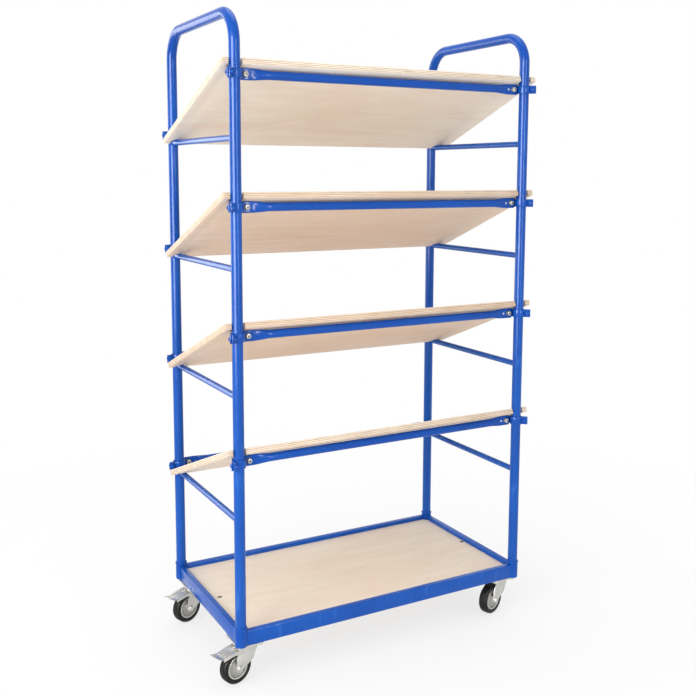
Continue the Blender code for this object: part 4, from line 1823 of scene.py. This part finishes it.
@dataclass
class Casters:
    """Swivel casters: plate and head, fork, wheel, and a brake pedal on the left ones."""

    trail: float = 0.036
    axle_height: float = 0.050
    axle_radius: float = 0.006
    axle_sides: int = 24
    crown_bottom: float = 0.105
    crown_edge: float = 0.0012
    fork_top: float = 0.1105
    fork_inner: float = 0.019
    fork_sheet: float = 0.003
    fork_edge: float = 0.0008
    fork_front: float = 0.033
    fork_rear: float = 0.022
    leg_end: float = 0.012
    leg_steps: int = 18
    knee: Flat = (0.050, 0.015)
    heel: Flat = (-0.009, 0.035)
    shoulder_forward: float = 0.002
    shoulder_drop: float = 0.0095
    plate_length: float = 0.085
    plate_depth: float = 0.105
    plate_thickness: float = 0.004
    plate_corner: float = 0.009
    plate_edge: float = 0.0007
    plate_holes: Flat = (0.0325, 0.0425)
    head_radius: float = 0.028
    head_profile: Profile = (
        (-0.0040, 0.0), (-0.0008, 0.0016), (0.0, 0.0030), (0.0, 0.0052), (-0.0020, 0.0062),
        (-0.0020, 0.0074), (-0.0006, 0.0084), (0.0, 0.0100), (0.0015, 0.0120))
    head_height: float = 0.012
    head_steps: int = 48
    gap: float = 0.0003
    pedal_forward: float = 0.006
    pedal_height: float = 0.098
    plate_screw: HexScrew = HexScrew(
        across_flats=0.013, height=0.0050, washer_radius=0.0080, washer_height=0.0012,
        shank_radius=0.004, shank_end=-0.0005)
    axle_nut: HexScrew = HexScrew(
        across_flats=0.0150, height=0.0052, washer_radius=0.0105, washer_height=0.0010,
        shank_radius=0.006, shank_end=-0.0008)

    def plate(self) -> Piece:
        """Model the top plate with its screws, and the swivel head with its ball race under it.

        Returns:
            The plate, round the swivel axis.
        """
        bottom = self.fork_top + self.gap
        under = bottom + self.head_height
        outline = rounded_rectangle(self.plate_length / 2, self.plate_depth / 2, self.plate_corner)
        sheet = slab("plate", outline, self.plate_thickness, self.plate_edge)
        moved(sheet, at(0.0, 0.0, under + self.plate_thickness / 2))
        race = [(self.head_radius + out, bottom + rise) for out, rise in self.head_profile]
        head = turned("head", [(0.0, bottom), *race, (0.0, under)], self.head_steps)
        x, y = self.plate_holes
        down = turn(math.pi, "X")
        places = [at(across, along, under) @ down for across in (-x, x) for along in (-y, y)]
        screws = repeated(self.plate_screw.build("plate_screw"), places)
        return joined("plate", [sheet, head, *screws])

    def tangent(self, point: Flat, side: int) -> float:
        """Angle at which one of the two lines from a point touches the leg's round end."""
        return math.atan2(point[1], point[0]) + side * math.acos(self.leg_end / math.hypot(*point))

    def leg_outline(self) -> list[Flat]:
        """Side of the fork: X forwards from the swivel axis and height from the floor.

        Returns:
            The outline.
        """
        x, z = axle = (-self.trail, self.axle_height)
        knee, heel = self.knee, self.heel
        first, last = self.tangent(knee, -1), self.tangent(heel, 1) - math.tau
        return [
            (self.fork_front, self.fork_top), (self.fork_front, self.crown_bottom),
            (x + knee[0], z + knee[1]), *arc(axle, self.leg_end, first, last, self.leg_steps),
            (x + heel[0], z + heel[1]),
            (x + self.shoulder_forward, self.fork_top - self.shoulder_drop),
            (-self.fork_rear, self.fork_top)]

    def fork(self) -> Piece:
        """Model the pressed fork with its axle, screw and nut.

        Returns:
            The fork, round the swivel axis and on the floor.
        """
        middle = self.fork_inner + self.fork_sheet / 2
        parts = []
        for side in (-middle, middle):
            leg = slab("leg", self.leg_outline(), self.fork_sheet, self.fork_edge)
            parts.append(moved(leg, at(0.0, side, 0.0) @ ALONG_Y))
        low = (-self.fork_rear, -middle, self.crown_bottom)
        parts.append(block("crown", low, (self.fork_front, middle, self.fork_top), self.crown_edge))
        outward = at(0.0, 0.0, self.fork_inner + self.fork_sheet)
        axle = at(-self.trail, 0.0, self.axle_height)
        faces = [axle @ turn(angle, "X") @ outward for angle in (QUARTER, -QUARTER)]
        parts += repeated(self.axle_nut.build("axle_nut"), faces)
        bar = rod("axle", self.axle_radius, 2 * middle, self.axle_sides)
        parts.append(moved(bar, axle @ ALONG_Y))
        return joined("fork", parts)

    def dress(self) -> None:
        """Put a caster under every corner, turned as the frame has it."""
        wheel = Wheel()
        pedal = BrakePedal(self.fork_inner + self.fork_sheet + self.gap).build()
        plate, fork = self.plate(), self.fork()
        centre, lip, tyre = wheel.centre(), wheel.lip(), wheel.tyre()
        joints = {joint["name"]: joint for joint in frame["joints"]}
        for name in (f"{hand.value}_{row.value}" for hand in Hand for row in Row):
            x, y, _ = joints[f"swivel_{name}"]["pos_m"]
            axis = joints[f"wheel_spin_{name}"]["axis"]
            stand = at(x, y, 0.0)
            swivel = stand @ turn(math.atan2(-axis[0], axis[1]), "Z")
            axle = swivel @ at(-self.trail, 0.0, self.axle_height) @ ALONG_Y
            rows = [
                (plate, "swivel_plate", stand, ZINC, "base", "caster_plate"),
                (fork, "pressed_fork", swivel, ZINC, f"fork_{name}", "caster_fork"),
                (centre, "ribbed_rim", axle, RIM_GREY, f"wheel_{name}", "wheel_rim"),
                (lip, "rolled_lip", axle, ZINC, f"wheel_{name}", "wheel_rim"),
                (tyre, "grooved_tyre", axle, RUBBER, f"wheel_{name}", "wheel_tyre"),
            ]
            if name.startswith(Hand.LEFT.value):
                pivot = swivel @ at(self.pedal_forward - self.trail, 0.0, self.pedal_height)
                rows.append((pedal, "foot_pedal", pivot, ZINC, f"pedal_{name}", "brake_pedal"))
            for template, piece, place, finish, body, node in rows:
                dress(copied(template, f"{piece}_{name}", place), finish, body, f"{node}_{name}")
        put_away([plate, fork, pedal, centre, lip, tyre])


# Studio


@dataclass(frozen=True)
class SoftLight:
    """A large soft lamp that looks at one point."""

    name: str
    place: Place
    target: Place
    width: float
    height: float
    power: float
    gloss_only: bool = False

    def build(self) -> None:
        """Hang the lamp."""
        lamp = bpy.data.lights.new(self.name, "AREA")
        lamp.shape = "RECTANGLE"
        lamp.size = self.width
        lamp.size_y = self.height
        lamp.energy = self.power
        holder = bpy.data.objects.new(self.name, lamp)
        bpy.context.scene.collection.objects.link(holder)
        holder.visible_diffuse = not self.gloss_only
        holder.location = self.place
        gaze = Vector(self.target) - Vector(self.place)
        holder.rotation_euler = gaze.to_track_quat("-Z", "Y").to_euler()


@dataclass
class Studio:
    """Pale floor, white surroundings, soft light and the camera."""

    camera_place: Place = (-1.4516, -2.66781, 1.49741)
    yaw: float = 0.50433
    pitch: float = 0.11956
    roll: float = 0.00276
    lens: float = 48.198
    sensor: float = 36.0
    shift: float = -0.08908
    bright_side: Place = (-0.75, -0.55, 0.36)
    side_range: Flat = (-0.8, 0.8)
    strengths: Flat = (0.52, 1.00)
    floor_half: float = 30.0
    floor_drop: float = 0.0004
    floor_white: Tint = Tint(250, 250, 250)
    floor_roughness: float = 0.9
    floor_specular: float = 0.1
    white_range: Flat = (0.8, 2.4)
    white_shares: Flat = (0.70, 1.0)
    lamps: tuple[SoftLight, ...] = (
        SoftLight("key", (-2.9, -1.5, 1.8), (0.0, 0.0, 1.0), 1.5, 2.0, 40.0),
        SoftLight("top", (0.2, 0.2, 4.2), (0.0, 0.0, 0.8), 2.2, 2.2, 28.0),
        SoftLight("left_gleam", (-2.9, -1.6, 1.6), (0.0, 0.0, 1.0), 2.0, 2.4, 220.0, True),
        SoftLight("front_gleam", (0.4, -4.0, 1.8), (0.0, 0.0, 1.0), 0.5, 2.0, 60.0, True),
        SoftLight("back_gleam", (-1.9, 2.9, 1.4), (0.0, 0.0, 0.6), 1.4, 2.2, 36.0, True),
    )

    def camera(self) -> None:
        """Set up the camera where the picture was taken from."""
        lens = bpy.data.cameras.new("camera")
        lens.sensor_width = self.sensor
        lens.lens = self.lens
        lens.shift_y = self.shift
        holder = bpy.data.objects.new("camera", lens)
        bpy.context.scene.collection.objects.link(holder)
        gaze = turn(-self.yaw, "Z") @ turn(QUARTER - self.pitch, "X") @ turn(self.roll, "Z")
        holder.matrix_world = at(*self.camera_place) @ gaze
        bpy.context.scene.camera = holder

    def surroundings(self) -> None:
        """White light, more of it from the left and the front, that is seen as plain white."""
        world = bpy.data.worlds.new("studio")
        bpy.context.scene.world = world
        bench = NodeBench(world)
        around = bench.coordinates["Generated"]
        towards = bench.calc("DOT_PRODUCT", around, self.bright_side, kind="VectorMath")
        level = bench.spread(towards, self.side_range, self.strengths)
        lit = bench.tree.nodes["Background"]
        bench.fill(lit, color=WHITE, strength=level)
        plain = bench.node("Background", color=WHITE, strength=1.0)
        shaders = [node.outputs["Background"] for node in (lit, plain)]
        bench.show("World Output", bench.seen(), *shaders)

    def floor(self) -> None:
        """Pale floor that keeps a soft shadow and turns white away from the cart."""
        place = (0.0, 0.0, -self.floor_drop)
        bpy.ops.mesh.primitive_plane_add(size=2 * self.floor_half, location=place)
        ground = fresh("floor")
        bench = FinishBench("floor_white")
        bench.surface(base_color=self.floor_white, roughness=self.floor_roughness,
                      specular_ior_level=self.floor_specular)
        away = bench.calc("LENGTH", bench.place, kind="VectorMath")
        whiter = bench.spread(away, self.white_range, self.white_shares)
        share = bench.calc("MULTIPLY", bench.seen(), whiter)
        glow = bench.node("Emission", color=WHITE, strength=1.0)
        bench.show("Material Output", share, bench.shader.outputs["BSDF"], glow.outputs["Emission"])
        ground.data.materials.append(bench.material)

    def build(self) -> None:
        """Set up the whole studio."""
        bpy.context.scene.view_settings.view_transform = "Standard"
        self.camera()
        self.surroundings()
        self.floor()
        for lamp in self.lamps:
            lamp.build()


def main() -> None:
    """Build the cart's sub-assemblies in order."""
    logging.basicConfig(level=logging.INFO, format="%(message)s")
    Studio().build()
    for hand in Hand:
        Hoop(hand).dress()
    for assembly in (Crossbars(), BaseFrame(), BaseDeck(), Shelves(), ClampedRails(), Casters()):
        assembly.dress()


if __name__ == "__main__":
    main()
